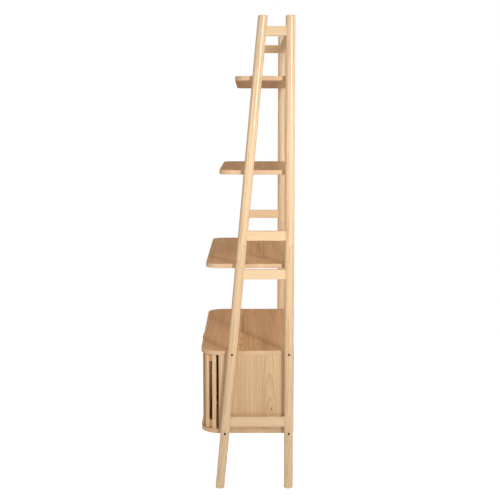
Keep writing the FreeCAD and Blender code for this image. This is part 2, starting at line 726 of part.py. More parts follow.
def make_frames():
    """Both ladder frames, the back rail and every fastener in a leg; returns the boards' holes."""
    joint_bolts, joint_inserts, cabinet_bolts, barrel_nuts, shelf_pins = [], [], [], [], []
    board_holes = {name: [] for name in (*SHELVES, "cabinet_top", "cabinet_floor")}
    rail_tenons = []
    for side_name, side in SIDES.items():
        tenons = {end: {"upper": [], "lower": []} for end in ("front", "rear")}
        holes = {end: {"upper": [], "lower": []} for end in ("front", "rear")}
        for rung_name in RUNGS:
            storey = "upper" if rung_name in ("head_rung", "upper_rung") else "lower"
            pair = [rung_tenon(side, rung_name, end) for end in ("front", "rear")]
            tenons["front"][storey].append(pair[0])
            tenons["rear"][storey].append(pair[1])
            rung(side_name, side, rung_name, pair)
        for end in ("front", "rear"):
            name = f"{side_name}_{end}"
            bolts, inserts, head_holes, insert_holes = lap_fastening(f"{name}_lap", side, end)
            joint_bolts += bolts
            joint_inserts += inserts
            with_heads, with_inserts = ("lower", "upper") if end == "front" else ("upper", "lower")
            holes[end][with_heads] += head_holes
            holes[end][with_inserts] += insert_holes
            for shelf in SHELVES:
                made = shelf_pin(f"{name}_{shelf}", side, end, f"{shelf}_level")
                shelf_pins.append(made[0])
                board_holes[shelf].append(made[1])
                storey = "lower" if shelf == "lower_shelf" else "upper"
                holes[end][storey].append(made[2])
            for level in ("cabinet_top", "cabinet_floor"):
                made = cabinet_fastening(f"{name}_{level}", side, end, f"{level}_level")
                cabinet_bolts.append(made[0])
                barrel_nuts.append(made[1])
                holes[end]["lower"] += made[2]
                board_holes[level] += made[3]
        low = (f"{LEG_INNER_X} - tenon_shoulder", f"{REAR_LEG_Y} - tenon_thick / 2",
               "head_rung_low + tenon_shoulder")
        high = (f"{LEG_INNER_X} + tenon_depth", f"{REAR_LEG_Y} + tenon_thick / 2",
                "head_rung_high - tenon_shoulder")
        rail_tenons.append(block_both_ways(f"{side_name}_back_rail_tenon", side, low, high))
        tenons["rear"]["upper"].append(rail_tenons[-1])
        for end in ("front", "rear"):
            leg(side_name, side, end, tenons[end], holes[end])

    half = "rung_thick / 2"
    points = [
        (f"{REAR_LEG_Y} - {half}", "head_rung_low"), (f"{REAR_LEG_Y} + {half}", "head_rung_low"),
        (f"{REAR_LEG_Y} + {half}", "head_rung_high"), (f"{REAR_LEG_Y} - {half}", "head_rung_high"),
    ]
    rail = padded_body("top_back_rail_bar", "YZ_Plane", points, f"2 * {LEG_X}")
    round_edges(rail, "top_back_rail_round", "rung_round", lambda edge: edge.BoundBox.XLength > SAME)
    put(rail, (f"-{LEG_X}", "0", "0"))
    copes = []
    for side_name, side in SIDES.items():
        bottom = (f"{side} * {LEG_X}", REAR_LEG_Y, "head_rung_low - leg_dia")
        copes.append(rod(f"{side_name}_rail_cope", "leg_dia", "4 * leg_dia", bottom, UP))
    coped = cut("top_back_rail_coped", rail, copes)
    keep("top_back_rail", fused("top_back_rail", [coped, *rail_tenons]))

    keep("leg_joint_bolts", group("leg_joint_bolts", joint_bolts))
    keep("leg_joint_inserts", group("leg_joint_inserts", joint_inserts))
    keep("cabinet_bolts", group("cabinet_bolts", cabinet_bolts))
    keep("cabinet_barrel_nuts", group("cabinet_barrel_nuts", barrel_nuts))
    keep("shelf_pins", group("shelf_pins", shelf_pins))
    return board_holes


def make_cabinet(board_holes):
    """The cabinet's boards, back panel and screws, its divider and its two doors."""
    bushes = []
    for side_name, side in SIDES.items():
        door_bushes, bush_holes = door(side_name, side)
        bushes += door_bushes
        board_holes["cabinet_floor"].append(bush_holes[0])
        board_holes["cabinet_top"].append(bush_holes[1])
    keep("pivot_bushes", group("pivot_bushes", bushes))
    keep("magnetic_catches", group("magnetic_catches", [magnetic_catch(*side) for side in SIDES.items()]))

    upright, dowels, dowel_holes = divider()
    for name, made in dowel_holes.items():
        board_holes[name] += made
    keep("cabinet_divider", upright)
    keep("divider_dowels", group("divider_dowels", dowels))

    screws = []
    holes = {name: [] for name in ("left", "right", "cabinet_top", "cabinet_floor")}
    panel_holes = []
    side_x, middle = f"({SIDE_INNER_X} + rebate / 2)", f"({CABINET_ROOF} + cabinet_floor_level) / 2"
    roof_z, floor_z = f"({CABINET_ROOF} + rebate / 2)", "(cabinet_floor_level - rebate / 2)"
    for step in (-1, 0, 1):
        places = {
            "left": (f"-{side_x}", f"{middle} + {step} * screw_spread_tall"),
            "right": (side_x, f"{middle} + {step} * screw_spread_tall"),
            "cabinet_top": (f"{step} * screw_spread_wide", roof_z),
            "cabinet_floor": (f"{step} * screw_spread_wide", floor_z),
        }
        for place, (x, z) in places.items():
            tag = f"back_screw_{place}_{step + 1}"
            screw, hole = back_screw(tag, x, z)
            screws.append(screw)
            holes[place].append(hole)
            panel_holes.append(hole)
    keep("cabinet_back_screws", group("cabinet_back_screws", screws))
    keep("cabinet_back", cut("cabinet_back", back_panel(), panel_holes))
    for side_name, side in SIDES.items():
        keep(f"{side_name}_cabinet_side",
             cut(f"{side_name}_cabinet_side", cabinet_side(side_name, side), holes[side_name]))

    reach = f"({SIDE_INNER_X} + rebate)"
    for name, low, high in (
        ("cabinet_top", CABINET_ROOF, f"{CABINET_ROOF} + rebate"),
        ("cabinet_floor", "cabinet_floor_level - rebate", "cabinet_floor_level"),
    ):
        plain = board(name, f"{name}_level", "cabinet_depth", "cabinet_corner", None)
        rebate = block(f"{name}_rebate", (f"-{reach}", f"{REAR_PLANE} - back_thick", low),
                       (reach, f"{REAR_PLANE} + board", high))
        keep(name, cut(name, plain, [rebate, *holes[name], *board_holes[name]]))


def make_shelves(board_holes):
    """The three open shelves."""
    for name in SHELVES:
        plain = board(name, f"{name}_level", f"{name}_depth", "shelf_corner", "shelf_corner")
        keep(name, cut(name, plain, board_holes[name]))


def write_pieces():
    """Checks every object and every piece, then writes one file per piece."""
    doc.recompute()
    for thing in doc.Objects:
        if {"Invalid", "Error"} & set(thing.State):
            raise RuntimeError(f"{thing.Name} did not compute: {thing.State}")
    os.makedirs("parts", exist_ok=True)
    for name, thing in pieces.items():
        shape = thing.Shape
        if shape.isNull() or not shape.isValid() or not shape.Solids:
            raise RuntimeError(f"{name} has no sound shape")
        shape.exportStep(f"parts/{name}.step")
        print(f"{name}: {len(shape.Solids)} solid(s), {shape.Volume / 1000:.1f} cm3")


holes_in_boards = make_frames()
make_shelves(holes_in_boards)
make_cabinet(holes_in_boards)
write_pieces()
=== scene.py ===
# %% [markdown]
# A ladder shelf in light wood: two side frames of round bars whose front legs lean, three open
# shelves with round corners, and a low cabinet whose two slatted doors bend round its front corners.
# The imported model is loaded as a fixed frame.  Pieces could be placed by typed numbers, but a change
# of design would leave them behind, so the places below are read from the frame where it has them.

# %% Load the frame
import json
import math
import random

import bmesh
import bpy
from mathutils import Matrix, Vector

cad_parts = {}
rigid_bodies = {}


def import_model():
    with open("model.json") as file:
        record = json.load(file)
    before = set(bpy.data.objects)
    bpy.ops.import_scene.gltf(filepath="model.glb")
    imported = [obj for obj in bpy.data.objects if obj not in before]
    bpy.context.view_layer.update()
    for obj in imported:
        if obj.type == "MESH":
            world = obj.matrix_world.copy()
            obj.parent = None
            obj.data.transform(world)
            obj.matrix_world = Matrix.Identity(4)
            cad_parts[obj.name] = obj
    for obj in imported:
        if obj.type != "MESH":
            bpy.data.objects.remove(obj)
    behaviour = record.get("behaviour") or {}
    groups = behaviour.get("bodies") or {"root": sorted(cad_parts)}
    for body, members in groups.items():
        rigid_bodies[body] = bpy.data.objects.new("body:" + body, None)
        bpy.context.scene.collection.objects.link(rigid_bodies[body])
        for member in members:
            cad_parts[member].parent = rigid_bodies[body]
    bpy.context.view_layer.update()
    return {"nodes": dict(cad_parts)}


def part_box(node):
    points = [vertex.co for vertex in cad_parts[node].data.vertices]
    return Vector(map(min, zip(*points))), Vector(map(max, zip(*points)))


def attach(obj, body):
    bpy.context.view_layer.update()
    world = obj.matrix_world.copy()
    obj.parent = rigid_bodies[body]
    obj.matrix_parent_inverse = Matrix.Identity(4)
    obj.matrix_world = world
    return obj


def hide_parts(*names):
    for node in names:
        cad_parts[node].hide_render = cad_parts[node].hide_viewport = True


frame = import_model()

bpy.ops.object.select_all(action="DESELECT")

# %% [markdown]
# The camera stands to the right of the shelf, a little below a standing person's eyes, and looks
# along it, so the near frame hides most of the far one.  A wide lens close by would splay the legs,
# so a long lens is used from further off.  The lens and place are plain numbers here, because a
# camera is a choice and not part of the shelf.

# %% Camera
CAMERA_PLACE = Vector((4.4403, 0.0073, 1.4881))
CAMERA_TILT_DOWN = math.radians(7.265)
CAMERA_TURN = math.radians(0.126)
CAMERA_LENS_MM, CAMERA_SENSOR_MM = 72.02, 36.0

camera_turns = (math.pi / 2 - CAMERA_TILT_DOWN, 0, math.pi / 2 - CAMERA_TURN)
bpy.ops.object.camera_add(location=CAMERA_PLACE, rotation=camera_turns)
camera = bpy.context.active_object
camera.name = "side_camera"
camera.data.lens = CAMERA_LENS_MM
camera.data.sensor_width = CAMERA_SENSOR_MM
bpy.context.scene.camera = camera
bpy.context.scene.view_settings.view_transform = "Standard"
print("lens", camera.data.lens, "mm")

# %% [markdown]
# Shader sums are easier to read as Python sums.  A small class wraps a socket, and each operator
# on it adds one Math node.  Every other node comes from one method, `node`, which takes the node's
# type, its settings and what goes into its sockets.

# %% Sockets that add up


class Wire:
    """An output socket that takes part in sums."""

    def __init__(self, paint, socket):
        self.paint = paint
        self.socket = socket

    def __add__(self, other):
        return self.paint.sum("ADD", self, other)

    __radd__ = __add__

    def __sub__(self, other):
        return self.paint.sum("SUBTRACT", self, other)

    def __rsub__(self, other):
        return self.paint.sum("SUBTRACT", other, self)

    def __mul__(self, other):
        return self.paint.sum("MULTIPLY", self, other)

    __rmul__ = __mul__

    def __truediv__(self, other):
        return self.paint.sum("DIVIDE", self, other)

    def __pow__(self, other):
        return self.paint.sum("POWER", self, other)


class Paint:
    """A material under construction, with its Principled shader."""

    def __init__(self, name, **constants):
        self.material = bpy.data.materials.new(name)
        self.material.use_nodes = True
        self.tree = self.material.node_tree
        self.shader = self.tree.nodes["Principled BSDF"]
        self.feed(self.shader, constants)

    def feed(self, node, inputs):
        """Gives each named or numbered input its value or its wire."""
        for key, value in inputs.items():
            if isinstance(value, Wire):
                self.tree.links.new(value.socket, node.inputs[key])
            else:
                node.inputs[key].default_value = value

    def node(self, kind, settings=None, inputs=None, output=0):
        """Adds a node, sets it up, feeds it, and returns one of its outputs."""
        node = self.tree.nodes.new(kind)
        for name, value in (settings or {}).items():
            if name == "stops":
                self.set_stops(node, value)
            else:
                setattr(node, name, value)
        self.feed(node, inputs or {})
        return Wire(self, node.outputs[output])

    def set_stops(self, node, stops):
        """Gives a colour ramp its stops, as pairs of place and grey."""
        elements = node.color_ramp.elements
        while len(elements) < len(stops):
            elements.new(0.5)
        for element, (place, grey) in zip(elements, stops):
            element.position = place
            element.color = (grey, grey, grey, 1)

    def sum(self, operation, *values):
        return self.node("ShaderNodeMath", {"operation": operation}, dict(enumerate(values)))

    def ramp(self, value, stops):
        return self.node("ShaderNodeValToRGB", {"stops": stops}, {0: value})

    def blend(self, factor, first, second):
        """Mix of two colours."""
        sockets = {0: factor, 6: first, 7: second}
        return self.node("ShaderNodeMix", {"data_type": "RGBA"}, sockets, output=2)

    def vector(self, operation, first, second):
        return self.node("ShaderNodeVectorMath", {"operation": operation}, {0: first, 1: second})

    def noise(self, place, stretch, detail=2.0, roughness=0.5):
        """Noise from 0 to 1, with its own scale along each axis."""
        stretched = self.vector("MULTIPLY", place, stretch)
        inputs = {"Vector": stretched, "Scale": 1.0, "Detail": detail, "Roughness": roughness}
        return self.node("ShaderNodeTexNoise", {}, inputs)

    def done(self, **varying):
        """Links what varies over the surface to the shader and returns the material."""
        self.feed(self.shader, varying)
        return self.material


def tone(red, green, blue):
    """A screen colour of 0 to 255 as the linear colour that a shader takes."""
    shares = [channel / 255 for channel in (red, green, blue)]
    linear = [s / 12.92 if s <= 0.04045 else ((s + 0.055) / 1.055) ** 2.4 for s in shares]
    return (*linear, 1.0)


print("a middle grey is", round(tone(128, 128, 128)[0], 3), "in linear light")

# %% [markdown]
# Wood is a solid, so its pattern is worked out in three dimensions.  Growth rings are tubes round a
# pith line, and the tree gets thinner as it grows, so a board sawn along it shows straight lines at
# its sides and pointed arches in the middle.  Wobble comes from slow noise, fibres and pores from
# noise that is stretched along the grain.  One function makes every piece of wood here, and each
# piece says which way its grain runs and where in the log it was cut.

# %% Wood
UP, ACROSS, REARWARD = Vector((0, 0, 1)), Vector((1, 0, 0)), Vector((0, 1, 0))
PORE, KNOT = tone(118, 82, 48), tone(112, 72, 40)
# Waves per metre, twice across the grain and once along it.
SLOW_WOBBLE, QUICK_WOBBLE = (5.0, 5.0, 1.1), (55.0, 55.0, 3.5)
BROAD_BANDS, FINE_STREAKS = (26.0, 26.0, 0.9), (210.0, 210.0, 3.2)
FIBRES, PORES = (1300.0, 1300.0, 14.0), (1500.0, 1500.0, 38.0)
# How far each wobble moves a ring, in metres.
SLOW_REACH, QUICK_REACH = 0.05, 0.0022
# How far a stick may lie from the next one in the log, along its three axes.
STAVE_SHIFT = (0.31, 0.17, 2.3)
LATE_WOOD = [(0.0, 0.05), (0.5, 0.22), (0.88, 1.0), (1.0, 0.05)]


def wood(name, light, dark, along, pith, ring=0.0055, taper=0.02, figure=0.55, knots=(),
         stave=False, streaks=0.55, gloss=0.35):
    """Lacquered light wood.

    along is the grain's direction, pith a point on the log's middle line, ring the width of one
    year's growth and taper how fast the log thins.  knots are places of small knots with their
    radii, and stave says that the mesh has an attribute that moves each stick in the log.
    figure is the strength of the ring pattern, streaks that of the long fine stripes, and gloss
    the weight of the lacquer.
    """
    shine = 0.1 + gloss * 0.6
    paint = Paint(name, **{"Specular IOR Level": shine, "Coat Roughness": 0.16, "IOR": 1.45})
    turn = along.rotation_difference(UP)
    start = -(turn @ pith)
    place = paint.node(
        "ShaderNodeMapping", {"vector_type": "POINT"},
        {"Vector": paint.node("ShaderNodeTexCoord", {}, {}, output=3),
         "Location": start, "Rotation": turn.to_euler()})
    shade = 0.0
    if stave:
        lot = paint.node("ShaderNodeAttribute", {"attribute_name": "stave"}, {}, output=2)
        shifts = {axis: lot * reach for axis, reach in enumerate(STAVE_SHIFT)}
        shift = paint.node("ShaderNodeCombineXYZ", {}, shifts)
        place = paint.vector("ADD", place, shift)
        shade = (lot - 0.5) * 0.34
    side = paint.node("ShaderNodeSeparateXYZ", {}, {0: place})
    depth, length = [Wire(paint, side.socket.node.outputs[axis]) for axis in (1, 2)]

    slow = paint.noise(place, SLOW_WOBBLE, detail=1.0) - 0.5
    quick = paint.noise(place, QUICK_WOBBLE) - 0.5
    radius = (side * side + depth * depth) ** 0.5 + slow * SLOW_REACH + quick * QUICK_REACH + length * taper
    dark_spot = 0.0
    for knot_place, knot_size in knots:
        centre = turn @ knot_place + start
        away = paint.vector("SUBTRACT", place, centre)
        away = paint.vector("MULTIPLY", away, (1.0, 1.0, 0.45))
        reach = paint.node("ShaderNodeVectorMath", {"operation": "LENGTH"}, {0: away}, output=1)
        bulge = paint.ramp(reach / (knot_size * 6), [(0.0, 1.0), (0.35, 0.35), (1.0, 0.0)])
        radius = radius + bulge * ring * 2.4
        core = paint.ramp(reach / (knot_size * 2), [(0.0, 1.0), (0.35, 0.8), (0.6, 0.0)])
        dark_spot = core + dark_spot
    phase = paint.sum("FRACT", radius / ring)
    late = paint.ramp(phase, LATE_WOOD)
    broad = paint.noise(place, BROAD_BANDS) - 0.5
    streak = paint.noise(place, FINE_STREAKS) - 0.5
    fibre = paint.noise(place, FIBRES) - 0.5
    pore = paint.ramp(paint.noise(place, PORES, detail=1.0), [(0.6, 0.0), (0.7, 1.0)])
    pore = pore * (1.0 - late * 0.7)

    depth_of_tone = late * figure + broad * 0.75 + streak * streaks + fibre * 0.22 + shade
    depth_of_tone = paint.node("ShaderNodeClamp", {}, {0: depth_of_tone + 0.12})
    colour = paint.blend(depth_of_tone, light, dark)
    colour = paint.blend(pore * 0.30, colour, PORE)
    if knots:
        mark = paint.node("ShaderNodeClamp", {}, {0: dark_spot * 0.8})
        colour = paint.blend(mark, colour, KNOT)
    relief = fibre * 0.35 - pore * 0.8 - late * 0.2
    bump = paint.node(
        "ShaderNodeBump", {}, {"Strength": 0.22, "Distance": 0.0004, "Height": relief})
    rough = 0.42 + pore * 0.2 + fibre * 0.12
    return paint.done(**{
        "Base Color": colour, "Roughness": rough, "Normal": bump,
        "Coat Weight": gloss * (1.0 - pore * 0.6)})


print("pores are", [round(channel, 3) for channel in PORE[:3]], "in linear light")

# %% [markdown]
# The hardware is plated steel, aged brass, black bolts and a little plastic.  Each could be one flat
# colour, but a plated or aged surface differs mostly in how evenly it shines, so noise goes into
# roughness and a little into colour.  A matt coating shines evenly and only needs a fine grain.

# %% Metal and plastic


def metal(name, colour, worn, rough, spread=0.12, scale=400.0):
    """Plated or aged metal with an uneven shine."""
    paint = Paint(name, Metallic=1.0)
    place = paint.node("ShaderNodeTexCoord", {}, {}, output=3)
    cloud = paint.noise(place, (scale,) * 3, detail=3.0)
    grain = paint.noise(place, (scale * 9,) * 3, detail=1.0)
    bump = paint.node("ShaderNodeBump", {}, {"Strength": 0.12, "Distance": 0.0001, "Height": grain})
    return paint.done(**{
        "Base Color": paint.blend(cloud, colour, worn), "Normal": bump,
        "Roughness": rough + (cloud - 0.5) * spread * 2})


def matt(name, colour, deeper, rough, shine=0.5):
    """Moulded plastic or a matt coating, with a fine even texture."""
    paint = Paint(name, **{"Specular IOR Level": shine})
    place = paint.node("ShaderNodeTexCoord", {}, {}, output=3)
    cloud = paint.noise(place, (90.0,) * 3, detail=2.0)
    grain = paint.noise(place, (3500.0,) * 3, detail=1.0)
    bump = paint.node("ShaderNodeBump", {}, {"Strength": 0.2, "Distance": 0.0001, "Height": grain})
    return paint.done(**{
        "Base Color": paint.blend(cloud, colour, deeper), "Normal": bump,
        "Roughness": rough + grain * 0.08})


AGED_BRASS = metal("aged_brass", tone(140, 118, 74), tone(96, 78, 44), 0.38)
INSERT_BRASS = metal("insert_brass", tone(214, 184, 116), tone(190, 156, 90), 0.3)
ZINC = metal("zinc_plate", tone(196, 198, 200), tone(168, 170, 172), 0.32)
BLACK_OXIDE = matt("black_oxide", tone(24, 14, 8), tone(14, 8, 4), 0.7, shine=0.02)
NYLON = matt("nylon", tone(228, 224, 212), tone(216, 210, 196), 0.45)
BROWN_PLASTIC = matt("brown_plastic", tone(108, 82, 58), tone(92, 68, 46), 0.5)
print("finishes:", sorted(material.name for material in bpy.data.materials))

# %% [markdown]
# The shelf's own dimensions come from the boxes of its parts.  They could be typed in again, but a
# number that is read can't disagree with the design.  The lean of the front legs follows from how
# far their feet stand ahead of their heads.

# %% Dimensions read from the frame
foot_low, foot_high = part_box("right_rear_leg_lower")
head_low, head_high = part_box("right_rear_leg_upper")
front_foot_low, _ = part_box("right_front_leg_lower")
_, front_head_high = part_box("right_front_leg_upper")

LEG_DIA = foot_high.x - foot_low.x
LEG_R = LEG_DIA / 2
LEG_X = (foot_low.x + foot_high.x) / 2
REAR_Y = (foot_low.y + foot_high.y) / 2
HEIGHT = head_high.z
LAP_LOW, LAP_HIGH = head_low.z, foot_high.z
LEAN = math.atan2(front_head_high.y - front_foot_low.y - LEG_DIA, HEIGHT)
FRONT_FOOT_Y = front_foot_low.y + LEG_R / math.cos(LEAN)
top_low, top_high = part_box("cabinet_top")
floor_low, floor_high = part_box("cabinet_floor")
REAR_EDGE = top_high.y
slats_low, slats_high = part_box("right_door_slats")
print("lean", round(math.degrees(LEAN), 3), "degrees; legs", round(LEG_DIA * 1000, 2), "mm")

# %% [markdown]
# A few helpers keep the modelling steps short.  Each wraps Blender's own operators: deselect, add a
# primitive at its size and place, pick edges or faces by a test, and cut one piece with others.

# %% Modelling helpers


def alone(piece):
    """Makes a piece the only selected and active one, in object mode."""
    if bpy.context.mode != "OBJECT":
        bpy.ops.object.mode_set(mode="OBJECT")
    bpy.ops.object.select_all(action="DESELECT")
    piece.select_set(True)
    bpy.context.view_layer.objects.active = piece
    return piece


def settle(name):
    """Names the new primitive and moves its place and size into its mesh."""
    piece = bpy.context.active_object
    piece.name = piece.data.name = name
    bpy.ops.object.transform_apply(location=True, rotation=True, scale=True)
    return piece


def bar(name, low, high):
    """Box between two corners."""
    bpy.ops.object.select_all(action="DESELECT")
    size = Vector(high) - Vector(low)
    bpy.ops.mesh.primitive_cube_add(size=1, location=(Vector(high) + Vector(low)) / 2, scale=size)
    return settle(name)


def round_bar(name, start, end, radius, sides=64):
    """Round bar between two points."""
    bpy.ops.object.select_all(action="DESELECT")
    run = Vector(end) - Vector(start)
    turns = UP.rotation_difference(run).to_euler()
    middle = (Vector(start) + Vector(end)) / 2
    bpy.ops.mesh.primitive_cylinder_add(
        vertices=sides, radius=radius, depth=run.length, location=middle, rotation=turns)
    return settle(name)


def pick(piece, kind, test):
    """Enters edit mode and selects the edges or faces that pass a test."""
    alone(piece)
    bpy.ops.object.mode_set(mode="EDIT")
    bpy.ops.mesh.select_mode(type=kind)
    bpy.ops.mesh.select_all(action="DESELECT")
    mesh = bmesh.from_edit_mesh(piece.data)
    for element in (mesh.edges if kind == "EDGE" else mesh.faces):
        element.select_set(bool(test(element)))
    mesh.select_flush_mode()
    bmesh.update_edit_mesh(piece.data)


def bevel(piece, test, width, steps):
    """Rounds the edges that pass a test."""
    pick(piece, "EDGE", test)
    bpy.ops.mesh.bevel(offset=width, segments=steps, affect="EDGES")
    bpy.ops.object.mode_set(mode="OBJECT")


def soften(piece, width, steps=2, angle=30):
    """Rounds every sharp edge of a finished shape a little, as sanding does."""
    alone(piece)
    modifier = piece.modifiers.new("soften", "BEVEL")
    modifier.width, modifier.segments = width, steps
    modifier.limit_method, modifier.angle_limit = "ANGLE", math.radians(angle)
    bpy.ops.object.modifier_apply(modifier=modifier.name)


def carve(piece, cutters):
    """Cuts a piece with others, which are used up."""
    for cutter in cutters:
        alone(piece)
        modifier = piece.modifiers.new("carve", "BOOLEAN")
        modifier.operation, modifier.solver, modifier.object = "DIFFERENCE", "EXACT", cutter
        bpy.ops.object.modifier_apply(modifier=modifier.name)
        bpy.data.objects.remove(cutter)


def joined(name, parts):
    """Joins separate solids into one piece."""
    alone(parts[0])
    for part in parts:
        part.select_set(True)
    bpy.ops.object.join()
    parts[0].name = parts[0].data.name = name
    return parts[0]


def copied(piece, name):
    """A copy with a mesh of its own."""
    alone(piece)
    bpy.ops.object.duplicate(linked=False)
    twin = bpy.context.active_object
    twin.name = twin.data.name = name
    return twin


def mirrored(piece, name):
    """The same piece for the left side, with its faces still pointing outwards."""
    twin = copied(piece, name)
    twin.scale = (-1, 1, 1)
    bpy.ops.object.transform_apply(location=True, rotation=True, scale=True)
    bpy.ops.object.mode_set(mode="EDIT")
    bpy.ops.mesh.select_all(action="SELECT")
    bpy.ops.mesh.normals_make_consistent(inside=False)
    bpy.ops.object.mode_set(mode="OBJECT")
    return twin


SMOOTH_UP_TO = math.radians(50)


def finish_piece(piece, body, slot, replaced, *materials):
    """Smooths, paints and attaches a piece, and hides the part that it stands for.

    Weighting the normals by area keeps the large faces flat beside their small rounded edges.
    """
    alone(piece)
    bpy.ops.object.shade_smooth_by_angle(angle=SMOOTH_UP_TO)
    evened = piece.modifiers.new("evened", "WEIGHTED_NORMAL")
    evened.mode, evened.keep_sharp = "FACE_AREA", True
    bpy.ops.object.modifier_apply(modifier=evened.name)
    for material in materials:
        piece.data.materials.append(material)
    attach(piece, body)
    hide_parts(replaced)
    return piece


def along_edge(edge, direction):
    """Whether an edge runs along a direction."""
    run = edge.verts[1].co - edge.verts[0].co
    return run.length > 1e-6 and abs(run.normalized().dot(direction)) > 0.9999


print("edges look smooth up to", round(math.degrees(SMOOTH_UP_TO)), "degrees")

# %% [markdown]
# Legs.  Each is a 38 mm round bar in two lengths, joined by a half lap: the upper length keeps the
# front half through the joint and the lower length the rear half.  A bar could be cut away with
# solids, but it is shorter to stop the bar at the joint, divide its end cap through the middle and
# draw one half out, which is also how the joint looks on the bench.

# %% Leg shapes
HEAD_ROUND = 0.003
LAP_EASE = 0.001
CUT_SHARE, END_CLEAR = 0.99, 0.01
BOLT_HEAD_R, BOLT_HEAD_LONG = 0.0043, 0.005
BOLT_RECESS = 0.0025
RECESS_R = 0.0045
RECESS_LEAD = 0.004
LAP_BOLT_SPREAD = 0.032


def leg_axis(end):
    """Direction of a leg from foot to head."""
    lean = LEAN if end == "front" else 0.0
    return Vector((0, math.sin(lean), math.cos(lean)))


def leg_point(end, height):
    """Point on the right leg's middle line at a height."""
    if end == "rear":
        return Vector((LEG_X, REAR_Y, height))
    return Vector((LEG_X, FRONT_FOOT_Y + math.tan(LEAN) * height, height))


def trim(piece, height, keep_above):
    """Saws a piece off level at a height."""
    pick(piece, "FACE", lambda face: True)
    bpy.ops.mesh.bisect(
        plane_co=(0, 0, height), plane_no=(0, 0, 1), use_fill=True,
        clear_inner=keep_above, clear_outer=not keep_above)
    bpy.ops.object.mode_set(mode="OBJECT")


def draw_half_lap(piece, end, cap_at, out, rearward):
    """Divides an end cap through the middle and draws its front or rear half out."""
    axis = leg_axis(end)
    square = Vector((0, axis.z, -axis.y))
    side = 1 if rearward else -1
    pick(piece, "FACE", lambda face: abs((face.calc_center_median() - cap_at).dot(axis)) < 1e-4)
    bpy.ops.mesh.bisect(plane_co=cap_at, plane_no=square)
    pick(piece, "FACE", lambda face: abs((face.calc_center_median() - cap_at).dot(axis)) < 1e-4
         and (face.calc_center_median() - cap_at).dot(square) * side > 0)
    bpy.ops.mesh.extrude_region_move(TRANSFORM_OT_translate={"value": out})
    bpy.ops.object.mode_set(mode="OBJECT")


def lap_bolt_places(end):
    """Middle point and outward direction of each bolt across a right leg's lap joint."""
    axis = leg_axis(end)
    outward = Vector((0, axis.z, -axis.y)) * (1 if end == "front" else -1)
    middle = leg_point(end, (LAP_LOW + LAP_HIGH) / 2)
    return [(middle + axis * step * LAP_BOLT_SPREAD / 2, outward) for step in (-1, 1)]


def mark_cuts(piece, end):
    """Gives the cut faces of the lap joint and of the bolt recesses the second material: darker cut grain
    with painted shade.
    """
    axis, foot = leg_axis(end), leg_point(end, 0)
    for face in piece.data.polygons:
        away = face.center - foot
        from_axis = (away - axis * away.dot(axis)).length
        between_ends = END_CLEAR < face.center.z < HEIGHT - END_CLEAR
        face.material_index = 1 if between_ends and from_axis < LEG_R * CUT_SHARE else 0


def bolt_cutters(end, storey):
    """Round cutters for the bolt recesses in one length of a right leg."""
    cutters = []
    if storey == "lower":
        for low, high in ((top_low, top_high), (floor_low, floor_high)):
            place = leg_point(end, (low.z + high.z) / 2)
            face = Vector((LEG_X + LEG_R + RECESS_LEAD, place.y, place.z))
            depth = Vector((RECESS_LEAD + BOLT_RECESS + BOLT_HEAD_LONG, 0, 0))
            cutters.append(round_bar("recess", face - depth, face, RECESS_R, 32))
    if storey == ("lower" if end == "front" else "upper"):
        for centre, outward in lap_bolt_places(end):
            mouth = centre + outward * (LEG_R + RECESS_LEAD)
            seat = centre + outward * (LEG_R - BOLT_RECESS - BOLT_HEAD_LONG)
            cutters.append(round_bar("recess", seat, mouth, RECESS_R, 32))
    return cutters


def leg_length(end, storey):
    """One length of a right leg, with its half lap and bolt recesses."""
    axis = leg_axis(end)
    foot = leg_point(end, 0)
    low, high = foot + axis * (LAP_LOW / axis.z), foot + axis * (LAP_HIGH / axis.z)
    lap = high - low
    name = f"right_{end}_leg_{storey}_wood"
    if storey == "lower":
        piece = round_bar(name, foot - axis * LEG_DIA, low, LEG_R)
        trim(piece, 0.0, keep_above=True)
        draw_half_lap(piece, end, low, lap, rearward=True)
    else:
        piece = round_bar(name, high, leg_point(end, HEIGHT) + axis * LEG_DIA, LEG_R)
        trim(piece, HEIGHT, keep_above=False)
        draw_half_lap(piece, end, high, -lap, rearward=False)
        bevel(piece, lambda edge: min(v.co.z for v in edge.verts) > HEIGHT - 1e-5, HEAD_ROUND, 5)
    soften(piece, LAP_EASE, 2, 50)
    carve(piece, bolt_cutters(end, storey))
    mark_cuts(piece, end)
    return piece


print("the lap joint runs from", round(LAP_LOW, 3), "to", round(LAP_HIGH, 3), "metres up")

# %% [markdown]
# The grain of a leg runs up it, so the front legs' grain leans with them.  Each leg is cut from
# another part of the log: the pith lies well away, which gives the plain straight streaks of a
# quarter-sawn bar.  Cut faces soak up more lacquer and look darker, and the lap's groove and the
# bolt recesses are darkened further as painted shade, which stands in for the shadow in these
# narrow cuts.

# %% Make the legs
LEG_LIGHT, LEG_DARK = tone(240, 211, 171), tone(200, 158, 111)
PITH_AWAY = {"upper": 0.11, "lower": 0.16}
PITH_AHEAD = 0.05


def leg_wood(side, end, storey):
    """Wood for one length of a leg."""
    sign = 1 if side == "right" else -1
    pith = Vector((sign * (LEG_X + PITH_AWAY[storey]), leg_point(end, 0).y - PITH_AHEAD * sign, 0))
    return wood(f"{side}_{end}_{storey}_leg_wood", LEG_LIGHT, LEG_DARK, leg_axis(end), pith,
                ring=0.0048, taper=0.004, figure=0.4, streaks=0.95, gloss=0.6)
